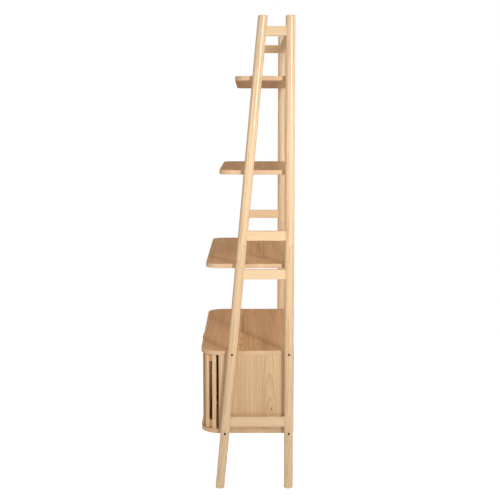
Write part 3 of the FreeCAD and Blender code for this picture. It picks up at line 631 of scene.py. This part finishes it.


# Partly the darker cut grain, partly painted shade: this colour stands in for the shadow in the lap's
# groove and the bolt recesses.
CUT_GRAIN_AND_SHADE = wood("cut_wood", tone(120, 80, 46), tone(84, 54, 30), UP,
                    Vector((0.2, 0.3, 0)), streaks=0.3, gloss=0.05)
for end in ("front", "rear"):
    for storey in ("lower", "upper"):
        right = leg_length(end, storey)
        left = mirrored(right, right.name.replace("right", "left"))
        for side, piece in (("right", right), ("left", left)):
            finish_piece(piece, "carcass", "leg_wood", f"{side}_{end}_leg_{storey}",
                         leg_wood(side, end, storey), CUT_GRAIN_AND_SHADE)
legs = [o for o in bpy.data.objects if "_leg_" in o.name and o.name.endswith("_wood")]
print("leg lengths:", len(legs), "with", sum(len(leg.data.polygons) for leg in legs), "faces")

# %% [markdown]
# Rungs are flat bars between the two legs of a frame.  Their ends are hollowed to sit round the
# legs.  A hollow like that is awkward to model by hand, so the bar is run through to the legs'
# middles and the legs' own round shape is cut away from it.

# %% Rungs and back rail
RUNG_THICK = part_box("right_head_rung")[1].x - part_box("right_head_rung")[0].x
RUNG_ROUND = 0.003
RUNG_GRAIN = {"ring": 0.005, "taper": 0.006, "figure": 0.3}


def leg_cutter(end, low, high):
    """A bar the size of a leg, to hollow the end of a rung."""
    axis = leg_axis(end)
    return round_bar("cope", leg_point(end, low) - axis * LEG_DIA,
                     leg_point(end, high) + axis * LEG_DIA, LEG_R)


def rung_piece(name):
    """A right-hand rung at the height of its part."""
    low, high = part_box(f"right_{name}")
    front = leg_point("front", (low.z + high.z) / 2).y
    half = RUNG_THICK / 2
    piece = bar(f"right_{name}_wood", (LEG_X - half, front, low.z), (LEG_X + half, REAR_Y, high.z))
    bevel(piece, lambda edge: along_edge(edge, REARWARD), RUNG_ROUND, 5)
    carve(piece, [leg_cutter(end, low.z, high.z) for end in ("front", "rear")])
    return piece


for count, name in enumerate(("head_rung", "upper_rung", "lower_rung", "base_rung")):
    right = rung_piece(name)
    left = mirrored(right, f"left_{name}_wood")
    for sign, side, piece in ((1, "right", right), (-1, "left", left)):
        pith = Vector((sign * (LEG_X + 0.07 + 0.02 * count), 0, 0.3 * count + 0.05))
        grain = wood(f"{side}_{name}_wood", LEG_LIGHT, LEG_DARK, REARWARD, pith, **RUNG_GRAIN)
        finish_piece(piece, "carcass", "rung_wood", f"{side}_{name}", grain)

rail_low, rail_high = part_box("top_back_rail")
half = RUNG_THICK / 2
rail = bar("top_back_rail_wood", (-LEG_X, REAR_Y - half, rail_low.z),
           (LEG_X, REAR_Y + half, rail_high.z))
bevel(rail, lambda edge: along_edge(edge, ACROSS), RUNG_ROUND, 5)
cutter = leg_cutter("rear", rail_low.z, rail_high.z)
carve(rail, [mirrored(cutter, "cope_left"), cutter])
rail_wood = wood("back_rail_wood", LEG_LIGHT, LEG_DARK, ACROSS, Vector((0, 0.25, 1.75)), **RUNG_GRAIN)
finish_piece(rail, "carcass", "rung_wood", "top_back_rail", rail_wood)

# %% [markdown]
# Boards.  A shelf is a veneered panel with an edge band, so its faces and its rim are two different
# cuts of wood: the face shows wide arches and the rim fine straight lines.  Seen from above the
# corners are round.  Bevelling the upright corner edges by the corner's radius makes exact quarter
# circles; a second, small bevel then takes the sharpness off the rim.

# %% Board shapes
SHELF_CORNER, CABINET_CORNER, CORNER_STEPS = 0.055, 0.078, 24
RIM_ROUND = 0.0015


def board_piece(node, front_corner, rear_corner):
    """Board with round corners and a softened rim, faces in slot 0 and rim in slot 1."""
    low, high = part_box(node)
    piece = bar(f"{node}_wood", low, high)
    bevel(piece, lambda edge: along_edge(edge, UP) and edge.verts[0].co.y < low.y + 1e-5,
          front_corner, CORNER_STEPS)
    if rear_corner:
        bevel(piece, lambda edge: along_edge(edge, UP) and edge.verts[0].co.y > high.y - 1e-5
              and abs(edge.verts[0].co.x) > high.x - 1e-5, rear_corner, CORNER_STEPS)
    bevel(piece, lambda edge: abs(edge.verts[0].co.z - edge.verts[1].co.z) < 1e-6, RIM_ROUND, 3)
    return piece


def band_rim(piece):
    """Gives the upright rim faces the second material."""
    for face in piece.data.polygons:
        face.material_index = 1 if abs(face.normal.z) < 0.7 else 0


def edge_band(name, height):
    """Edge banding: light, with fine lines that run round the board."""
    return wood(name, tone(229, 197, 160), tone(187, 149, 109), ACROSS,
                Vector((0, 0.9, height + 0.3)), ring=0.004, taper=0.002, figure=0.3, gloss=0.15)


print("corner radii", SHELF_CORNER, "and", CABINET_CORNER, "metres")

# %% [markdown]
# The cabinet's top and floor are boards too, square at the back, with a step along the rear edge
# that the thin back panel sits in.  The step could be pushed in by hand, but cutting it with the
# panel's own box is shorter and is sure to fit.  Each board's log lies just under its face, which
# gives the wide arches of a flat-sawn veneer.

# %% Make the boards
BOARD_LIGHT, BOARD_DARK = tone(245, 199, 146), tone(174, 130, 86)
back_low, back_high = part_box("cabinet_back")
BOARD_PITHS = {
    "top_shelf": Vector((0, 0.10, -0.05)), "middle_shelf": Vector((0, 0.02, -0.045)),
    "lower_shelf": Vector((0, 0.05, -0.04)), "cabinet_top": Vector((0, -0.02, -0.035)),
    "cabinet_floor": Vector((0, 0.06, -0.06))}
OVERRUN = 0.01
TOP_KNOTS = [(Vector((0.335, 0.045, 0)), 0.004), (Vector((0.05, -0.11, 0)), 0.003)]

for node, below in BOARD_PITHS.items():
    low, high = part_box(node)
    in_cabinet = node.startswith("cabinet")
    piece = board_piece(node, CABINET_CORNER if in_cabinet else SHELF_CORNER,
                        None if in_cabinet else SHELF_CORNER)
    if in_cabinet:
        overrun = Vector((0, OVERRUN, 0))
        carve(piece, [bar("step", back_low, back_high + overrun)])
    band_rim(piece)
    raised = Vector((0, 0, high.z))
    spots = TOP_KNOTS if node == "cabinet_top" else []
    knots = [(spot + raised, size) for spot, size in spots]
    face_wood = wood(f"{node}_face", BOARD_LIGHT, BOARD_DARK, ACROSS, below + raised,
                     ring=0.006, taper=0.035, figure=0.5, knots=knots, streaks=0.8, gloss=0.1)
    finish_piece(piece, "carcass", "board_wood", node, face_wood, edge_band(f"{node}_rim", high.z))
print("boards:", list(BOARD_PITHS))

# %% [markdown]
# The cabinet's sides are boards with upright grain and a banded front edge.  The divider behind the
# doors is coloured dark as painted shade: the colour stands in for the unlit inside of the cabinet
# seen through the gaps between the slats.  The back is thin plywood let in flush.  All four start as
# boxes between their parts' corners; only the step for the back is cut, as a router would cut it.

# %% Cabinet sides, divider and back
SIDE_LIGHT, SIDE_DARK = tone(228, 196, 154), tone(178, 138, 96)
# Painted shade: these dark tones on the divider stand in for the unlit inside of the cabinet.
DIVIDER_SHADE_LIGHT, DIVIDER_SHADE_DARK = tone(112, 78, 50), tone(76, 50, 30)
SIDE_EASE, PANEL_EASE = 0.0008, 0.0006
SIDE_TAPER = 0.04
SIDE_KNOT = [(Vector((0.461, 0.104, 0.325)), 0.003)]
for sign, side in ((1, "right"), (-1, "left")):
    low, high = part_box(f"{side}_cabinet_side")
    piece = bar(f"{side}_cabinet_side_wood", low, high)
    soften(piece, SIDE_EASE)
    inner = back_high.x
    step_low = Vector((-inner if sign < 0 else low.x - OVERRUN, back_low.y, low.z - OVERRUN))
    step_high = Vector((high.x + OVERRUN if sign < 0 else inner, REAR_EDGE + OVERRUN, high.z + OVERRUN))
    carve(piece, [bar("step", step_low, step_high)])
    knots = [(Vector((sign * spot.x, spot.y, spot.z)), size) for spot, size in SIDE_KNOT]
    pith = Vector((sign * (max(abs(low.x), abs(high.x)) - 0.05), 0.095, 0))
    grain = wood(f"{side}_side_face", SIDE_LIGHT, SIDE_DARK, UP, pith,
                 taper=SIDE_TAPER, figure=0.3, knots=knots, streaks=0.85)
    band_faces = edge_band(f"{side}_side_rim", 0.4)
    for face in piece.data.polygons:
        face.material_index = 1 if face.normal.y < -0.7 else 0
    finish_piece(piece, "carcass", "side_wood", f"{side}_cabinet_side", grain, band_faces)

divider = bar("cabinet_divider_wood", *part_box("cabinet_divider"))
soften(divider, SIDE_EASE)
# The divider's material is painted shade for the unlit inside of the cabinet seen between the slats.
divider_shade_paint = wood("divider_face", DIVIDER_SHADE_LIGHT, DIVIDER_SHADE_DARK, UP, Vector((-0.05, 0.06, 0)),
               taper=SIDE_TAPER, figure=0.3)
finish_piece(divider, "carcass", "divider_wood", "cabinet_divider", divider_shade_paint)

panel = bar("cabinet_back_ply", back_low, back_high)
soften(panel, PANEL_EASE)
ply = wood("back_ply", tone(222, 186, 142), tone(172, 128, 84), ACROSS,
           Vector((0, back_high.y + 0.05, 0.42)), ring=0.007, taper=SIDE_TAPER, figure=0.5)
finish_piece(panel, "carcass", "back_ply", "cabinet_back", ply)
print("cabinet: two sides, a divider and a back", round((back_high - back_low).y * 1000, 1), "mm thick")

# %% [markdown]
# Doors.  A door is a row of upright slats on two bent rails.  The row runs straight along the front
# and then round the corner, so a slat's place is best given by how far along the row it stands: up
# to the bend that distance is simply X, and past it the distance becomes an angle.  One slat is
# shaped once and copied to every place.

# %% Where the slats stand
SLATS = 13
SLAT_WIDE, SLAT_THICK, SLAT_ROUND, SLAT_EASE = 0.016, 0.008, 0.0015, 0.0004
SLAT_PITCH = 0.0386
FIRST_SLAT = slats_low.x + SLAT_WIDE / 2
BEND_X, BEND_Y = top_high.x - CABINET_CORNER, top_low.y + CABINET_CORNER
DOOR_FACE = slats_low.y
BEND_R = BEND_Y - DOOR_FACE
DOOR_LOW, DOOR_HIGH = slats_low.z, slats_high.z


def slat_spot(count, inward=0.0):
    """Middle of a slat's outer face, or a point further in, and how far it is turned."""
    along = FIRST_SLAT + count * SLAT_PITCH
    if along <= BEND_X:
        return Vector((along, DOOR_FACE + inward, 0)), 0.0
    turn = (along - BEND_X) / BEND_R
    reach = BEND_R - inward
    return Vector((BEND_X + reach * math.sin(turn), BEND_Y - reach * math.cos(turn), 0)), turn


def new_slat(name):
    """A slat at the origin, its outer edges well rounded and the rest just eased."""
    half = SLAT_WIDE / 2
    slat = bar(name, (-half, 0, DOOR_LOW), (half, SLAT_THICK, DOOR_HIGH))
    bevel(slat, lambda edge: along_edge(edge, UP) and edge.verts[0].co.y < 1e-5, SLAT_ROUND, 5)
    soften(slat, SLAT_EASE, 2, 50)
    return slat


def slat_row(name, counts, rng):
    """Copies of the slat, each turned to its place and given its own place in the log."""
    master = new_slat("slat_master")
    row = []
    for count in counts:
        slat = copied(master, f"{name}_{count}")
        slat.location, turn = slat_spot(count)
        slat.rotation_euler = (0, 0, turn)
        bpy.ops.object.transform_apply(location=True, rotation=True, scale=True)
        lot = slat.data.attributes.new("stave", "FLOAT", "FACE")
        lot.data.foreach_set("value", [rng.random()] * len(slat.data.polygons))
        row.append(slat)
    bpy.data.objects.remove(master)
    return joined(name, row)


print("slats turn by", [round(math.degrees(slat_spot(count)[1])) for count in range(SLATS)])

# %% [markdown]
# The rails are bent from thin layers.  A curve with a bevel could make one, but here a rail starts as
# its own cross-section, is drawn out straight, and is then spun round the bend's centre, which is
# what a bending former does and gives a true arc.

# %% Bent rails
RAIL_THICK, RAIL_TALL, RAIL_EASE = 0.016, 0.03, 0.001
RAIL_STEPS = 20


def bent_rail(name, level):
    """Right-hand door rail whose foot is at a level."""
    face = DOOR_FACE + SLAT_THICK
    start_x = slats_low.x
    middle = Vector((start_x, face + RAIL_THICK / 2, level + RAIL_TALL / 2))
    bpy.ops.object.select_all(action="DESELECT")
    bpy.ops.mesh.primitive_plane_add(size=1, location=middle, rotation=(0, math.pi / 2, 0))
    rail = bpy.context.active_object
    rail.scale = (RAIL_TALL, RAIL_THICK, 1)
    rail = settle(name)
    bpy.ops.object.mode_set(mode="EDIT")
    bpy.ops.mesh.select_all(action="SELECT")
    bpy.ops.mesh.extrude_region_move(TRANSFORM_OT_translate={"value": (BEND_X - start_x, 0, 0)})
    bpy.ops.object.mode_set(mode="OBJECT")
    pick(rail, "FACE", lambda face: abs(face.calc_center_median().x - BEND_X) < 1e-5
         and abs(face.normal.x) > 0.9)
    _, sweep = slat_spot(SLATS - 1)
    bpy.ops.mesh.spin(steps=RAIL_STEPS, angle=-sweep, center=(BEND_X, BEND_Y, 0), axis=(0, 0, 1))
    bpy.ops.mesh.select_all(action="SELECT")
    bpy.ops.mesh.remove_doubles(threshold=1e-6)
    bpy.ops.mesh.normals_make_consistent(inside=False)
    bpy.ops.object.mode_set(mode="OBJECT")
    soften(rail, RAIL_EASE, 2, 40)
    return rail


print("the slats' outer faces bend round a radius of", round(BEND_R * 1000, 1), "mm")

# %% [markdown]
# A knob is turned on a lathe.  It is made here by drawing a short foot out into a neck, a wide head
# and a soft dome, one ring at a time, which keeps every edge a true circle.

# %% Knobs
knob_low, knob_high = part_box("right_door_knob")
KNOB_X, KNOB_Z = (knob_low.x + knob_high.x) / 2, (knob_low.z + knob_high.z) / 2
KNOB_R = (knob_high.x - knob_low.x) / 2
KNOB_LONG = knob_high.y - knob_low.y
KNOB_FOOT_R, KNOB_NECK_R, KNOB_FOOT_LONG, KNOB_NECK_LONG = 0.005, 0.004, 0.0015, 0.015
KNOB_EASE = 0.0002


def turned_knob(name):
    """The right-hand knob."""
    root = Vector((KNOB_X, knob_high.y, KNOB_Z))
    knob = round_bar(name, root, root - REARWARD * KNOB_FOOT_LONG, KNOB_FOOT_R, 48)
    pick(knob, "FACE", lambda face: face.normal.y < -0.9)
    bpy.ops.mesh.inset(thickness=KNOB_FOOT_R - KNOB_NECK_R)
    reach, radius = KNOB_FOOT_LONG, KNOB_NECK_R
    rings = ((KNOB_NECK_LONG, KNOB_NECK_R), (KNOB_NECK_LONG, KNOB_R - 0.0016),
             (KNOB_NECK_LONG + 0.0004, KNOB_R - 0.0006), (KNOB_NECK_LONG + 0.0015, KNOB_R),
             (KNOB_LONG - 0.0030, KNOB_R), (KNOB_LONG - 0.0018, KNOB_R - 0.0004),
             (KNOB_LONG - 0.0009, KNOB_R - 0.0012), (KNOB_LONG - 0.0003, KNOB_R - 0.0025),
             (KNOB_LONG, KNOB_R - 0.0045))
    for ring_reach, ring_radius in rings:
        bpy.ops.mesh.extrude_region_move(TRANSFORM_OT_translate={"value": (0, reach - ring_reach, 0)})
        share = ring_radius / radius
        centre = root - REARWARD * ring_reach
        bpy.ops.transform.resize(value=(share, 1, share), center_override=centre)
        reach, radius = ring_reach, ring_radius
    bpy.ops.mesh.select_all(action="SELECT")
    bpy.ops.mesh.remove_doubles(threshold=1e-6)
    bpy.ops.mesh.normals_make_consistent(inside=False)
    bpy.ops.object.mode_set(mode="OBJECT")
    soften(knob, KNOB_EASE, 2, 50)
    return knob


print("a knob is", round(KNOB_R * 2000, 1), "mm across and", round(KNOB_LONG * 1000, 1), "mm long")

# %% [markdown]
# Bolts hold the cabinet between the legs and the two lengths of each leg together.  A head could be
# painted on, but it sits in a recess and its depth shows from the side, so it is a short round bar
# with a six-sided hole cut in, on a thinner bar for the shank.

# %% Bolts
SOCKET_R, SOCKET_DEEP, SOCKET_LEAD, BOLT_R = 0.0023, 0.0028, 0.001, 0.003
HEAD_EASE = 0.0005


def bolt(name, face, inward, shank):
    """Socket-head bolt with its head's outer face at a point."""
    head = round_bar(name, face, face + inward * BOLT_HEAD_LONG, BOLT_HEAD_R, 40)
    soften(head, HEAD_EASE, 3, 50)
    start = face - inward * SOCKET_LEAD
    carve(head, [round_bar("socket", start, face + inward * SOCKET_DEEP, SOCKET_R, 6)])
    seat = face + inward * BOLT_HEAD_LONG
    body = round_bar(f"{name}_shank", seat, seat + inward * shank, BOLT_R, 24)
    return joined(name, [head, body])


def with_left(parts):
    """The parts and their mirror images."""
    return parts + [mirrored(part, f"{part.name}_left") for part in parts]


CABINET_BOLT_LONG, LAP_BOLT_LONG = 0.068, 0.02
cabinet_bolts, lap_bolts = [], []
for end in ("front", "rear"):
    for low, high in ((top_low, top_high), (floor_low, floor_high)):
        place = leg_point(end, (low.z + high.z) / 2)
        face = Vector((LEG_X + LEG_R - BOLT_RECESS, place.y, place.z))
        cabinet_bolts.append(bolt(f"bolt_{end}_{len(cabinet_bolts)}", face, -ACROSS, CABINET_BOLT_LONG))
    for centre, outward in lap_bolt_places(end):
        face = centre + outward * (LEG_R - BOLT_RECESS)
        lap_bolts.append(bolt(f"lap_bolt_{end}_{len(lap_bolts)}", face, -outward, LAP_BOLT_LONG))
finish_piece(joined("cabinet_bolt_set", with_left(cabinet_bolts)), "carcass", "black_steel",
             "cabinet_bolts", BLACK_OXIDE)
finish_piece(joined("lap_bolt_set", with_left(lap_bolts)), "carcass", "zinc_steel",
             "leg_joint_bolts", ZINC)
print("cabinet bolts:", 2 * len(cabinet_bolts), "lap bolts:", 2 * len(lap_bolts))

# %% [markdown]
# Twelve small screws hold the back panel.  Each head is a flat disc with a cross cut into it.  One is
# made and copied to the other places, which lie evenly round the panel's rim.

# %% Screws
SCREW_HEAD_R, SCREW_HEAD_LONG, SCREW_R, SCREW_LONG = 0.0028, 0.0015, 0.0015, 0.014
CROSS_LONG, CROSS_WIDE, CROSS_DEEP = 0.0034, 0.0007, 0.001
SCREW_EASE = 0.0002


def cross_screw(name, face):
    """Small screw that points forward, its head flush at a point on the rear plane."""
    head = round_bar(name, face, face - REARWARD * SCREW_HEAD_LONG, SCREW_HEAD_R, 32)
    soften(head, SCREW_EASE, 2, 50)
    cuts = []
    for wide, tall in ((CROSS_LONG, CROSS_WIDE), (CROSS_WIDE, CROSS_LONG)):
        reach = Vector((wide / 2, CROSS_DEEP, tall / 2))
        cuts.append(bar("cross", face - reach, face + reach))
    carve(head, cuts)
    seat = face - REARWARD * SCREW_HEAD_LONG
    shank = round_bar(f"{name}_shank", seat, face - REARWARD * SCREW_LONG, SCREW_R, 12)
    return joined(name, [head, shank])


screws_low, screws_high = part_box("cabinet_back_screws")
SCREW_SIDE_X = screws_high.x - SCREW_HEAD_R
SCREW_LOW_Z, SCREW_HIGH_Z = screws_low.z + SCREW_HEAD_R, screws_high.z - SCREW_HEAD_R
SCREW_SPREAD_WIDE, SCREW_SPREAD_TALL = 0.3, 0.115
screw_places = []
for step in (-1, 0, 1):
    screw_places += [(step * SCREW_SPREAD_WIDE, z) for z in (SCREW_LOW_Z, SCREW_HIGH_Z)]
    level = (SCREW_LOW_Z + SCREW_HIGH_Z) / 2 + step * SCREW_SPREAD_TALL
    screw_places += [(x, level) for x in (-SCREW_SIDE_X, SCREW_SIDE_X)]
first_x, first_z = screw_places[0]
first = cross_screw("back_screw_0", Vector((first_x, REAR_EDGE, first_z)))
screws = [first]
for count, (x, z) in enumerate(screw_places[1:], start=1):
    screw = copied(first, f"back_screw_{count}")
    screw.location = (x - first_x, 0, z - first_z)
    bpy.ops.object.transform_apply(location=True, rotation=True, scale=True)
    screws.append(screw)
finish_piece(joined("back_screw_set", screws), "carcass", "zinc_steel", "cabinet_back_screws", ZINC)
print("back screws:", len(screw_places))

# %% [markdown]
# Both doors are built from the same shapes; the left one is the right one's mirror image.  Each
# slat's place in the log is drawn from a seeded random series, so no two slats match.

# %% Make the doors
SLAT_LIGHT, SLAT_DARK = tone(244, 212, 166), tone(202, 156, 104)
DRAWS = random.Random(17)
slat_grain = wood("slat_wood", SLAT_LIGHT, SLAT_DARK, UP, Vector((0.1, 0.3, 0)),
                  ring=0.005, taper=0.01, figure=0.35, stave=True, gloss=0.08)
rail_grain = wood("rail_wood", tone(226, 188, 142), tone(184, 138, 90), ACROSS,
                  Vector((0, -0.3, 0.6)), ring=0.004, taper=0.004, figure=0.3)

SLAT_SETS = (("slats", range(SLATS - 1), "slats"), ("hinge_stick", (SLATS - 1,), "hinge_slat"))
for name, counts, node in SLAT_SETS:
    right = slat_row(f"right_door_{name}_wood", counts, DRAWS)
    left = mirrored(right, f"left_door_{name}_wood")
    for side, piece in (("right", right), ("left", left)):
        finish_piece(piece, f"{side}_door", "slat_wood", f"{side}_door_{node}", slat_grain)

for name, level in (("top_rail", DOOR_HIGH - RAIL_TALL), ("bottom_rail", DOOR_LOW)):
    right = bent_rail(f"right_door_{name}_wood", level)
    left = mirrored(right, f"left_door_{name}_wood")
    for side, piece in (("right", right), ("left", left)):
        finish_piece(piece, f"{side}_door", "door_rail_wood", f"{side}_door_{name}", rail_grain)

right = turned_knob("right_door_knob_brass")
left = mirrored(right, "left_door_knob_brass")
for side, piece in (("right", right), ("left", left)):
    finish_piece(piece, f"{side}_door", "aged_brass", f"{side}_door_knob", AGED_BRASS)
made = [o.name for o in bpy.data.objects if o.name.endswith(("_wood", "_brass"))]
print("door pieces:", sorted(name for name in made if "_door_" in name))

# %% [markdown]
# Small hardware that the design already shapes well, such as pins and nuts, could be modelled again
# and would look the same.  So it keeps its own form and only gets a finish.

# %% Finishes for the small hardware
CAD_FINISHES = {
    "cabinet_barrel_nuts": ZINC, "leg_joint_inserts": INSERT_BRASS, "shelf_pins": ZINC,
    "pivot_bushes": NYLON, "magnetic_catches": BROWN_PLASTIC,
    "divider_dowels": wood("dowel_wood", LEG_LIGHT, LEG_DARK, UP, Vector((0.03, 0.2, 0)))}
for side in ("left", "right"):
    for name in ("pivot_pins", "knob_screw", "strike_plate"):
        CAD_FINISHES[f"{side}_door_{name}"] = ZINC
for node, material in CAD_FINISHES.items():
    mesh = frame["nodes"][node].data
    mesh.materials.clear()
    mesh.materials.append(material)
print(len(CAD_FINISHES), "parts keep their own form")

# %% [markdown]
# The floor is a pale disc.  A large plain plane would show its edge or a horizon, so the disc turns
# clear towards its rim, and the background stays white from every side.  It glows a little, because
# a floor in a bright studio is lit by more lamps than are set up here.

# %% Floor
FLOOR_RADIUS, FLOOR_LEVEL, FLOOR_SIDES = 3.0, -0.0005, 96
FLOOR_GLOW = 0.7
bpy.ops.object.select_all(action="DESELECT")
bpy.ops.mesh.primitive_circle_add(
    vertices=FLOOR_SIDES, radius=FLOOR_RADIUS, fill_type="NGON", location=(0, 0, FLOOR_LEVEL))
floor = settle("studio_floor")
floor_paint = Paint("pale_floor", **{
    "Roughness": 0.9, "Emission Strength": FLOOR_GLOW, "Emission Color": (1, 1, 1, 1)})
spot = floor_paint.node("ShaderNodeTexCoord", {}, {}, output=3)
reach = floor_paint.node("ShaderNodeVectorMath", {"operation": "LENGTH"}, {0: spot}, output=1)
fade = floor_paint.ramp(reach / FLOOR_RADIUS, [(0.0, 1.0), (0.25, 0.95), (0.95, 0.0)])
cloud = floor_paint.noise(spot, (3.0, 3.0, 3.0))
pale = floor_paint.blend(cloud, tone(247, 246, 244), tone(250, 249, 248))
floor_paint.done(**{"Base Color": pale, "Alpha": fade})
floor.data.materials.append(floor_paint.material)
floor.visible_diffuse = False
print("the floor is", 2 * FLOOR_RADIUS, "metres across")

# %% [markdown]
# The world gives the even light of a room with pale walls, a little stronger from the right, the
# rear and above.  An image of a room could do it, but a few nodes are enough and read no file.
# Straight on, the world is plain white.  In reflections it is weak, because a bright room all round
# would lay a milky veil over the lacquer.

# %% Light of the room
AMBIENT, REFLECTED = 0.49, 0.15
AMBIENT_LEAN = (0.06, 0.04, 0.03)
AMBIENT_COLOUR = (1.03, 0.972, 0.935, 1)
world = bpy.data.worlds.new("studio")
bpy.context.scene.world = world
world.use_nodes = True
sky = world.node_tree
seen = sky.nodes["Background"]
seen.inputs["Color"].default_value = (1, 1, 1, 1)
glow = sky.nodes.new("ShaderNodeBackground")
glow.inputs["Color"].default_value = AMBIENT_COLOUR
which = sky.nodes.new("ShaderNodeMixShader")
ray = sky.nodes.new("ShaderNodeLightPath")
leaning = sky.nodes.new("ShaderNodeVectorMath")
leaning.operation = "DOT_PRODUCT"
leaning.inputs[1].default_value = AMBIENT_LEAN
direction = sky.nodes.new("ShaderNodeTexCoord")
sky.links.new(direction.outputs["Generated"], leaning.inputs[0])
ambient = sky.nodes.new("ShaderNodeMath")
ambient.inputs[1].default_value = AMBIENT
sky.links.new(leaning.outputs["Value"], ambient.inputs[0])
strength = sky.nodes.new("ShaderNodeMapRange")
sky.links.new(ambient.outputs[0], strength.inputs["To Min"])
strength.inputs["To Max"].default_value = REFLECTED
sky.links.new(ray.outputs["Is Glossy Ray"], strength.inputs["Value"])
sky.links.new(strength.outputs[0], glow.inputs["Strength"])
sky.links.new(ray.outputs["Is Camera Ray"], which.inputs[0])
sky.links.new(glow.outputs[0], which.inputs[1])
sky.links.new(seen.outputs[0], which.inputs[2])
sky.links.new(which.outputs[0], sky.nodes["World Output"].inputs["Surface"])
print("the room's light is", AMBIENT, "and its reflection", REFLECTED)

# %% [markdown]
# Studio lights.  Small lamps would give hard shadows and a wide box would flatten the round bars.
# So two tall narrow boxes, one each side of the camera, draw a long soft highlight down each bar,
# and a large one behind lights the tops of the boards.

# %% Studio lights


def soft_light(name, place, target, size, power, spread=180):
    """Soft box aimed at a point: size in metres, power in watts, spread in degrees."""
    aim = (Vector(target) - Vector(place)).to_track_quat("-Z", "Y").to_euler()
    bpy.ops.object.light_add(type="AREA", location=place, rotation=aim)
    light = bpy.context.active_object
    light.name = name
    light.data.shape = "RECTANGLE"
    light.data.size, light.data.size_y = size
    light.data.energy, light.data.spread = power, math.radians(spread)


soft_light("left_strip", (2.6, -3.4, 1.9), (0.2, 0, 1.18), (0.3, 1.4), 2.2, 42)
soft_light("right_strip", (4.4, 2.0, 1.9), (0.2, 0, 1.17), (0.35, 1.4), 6.8, 37)
soft_light("rear_box", (-1.5, 4.2, 2.4), (0, 0, 1.4), (2.0, 2.0), 34)
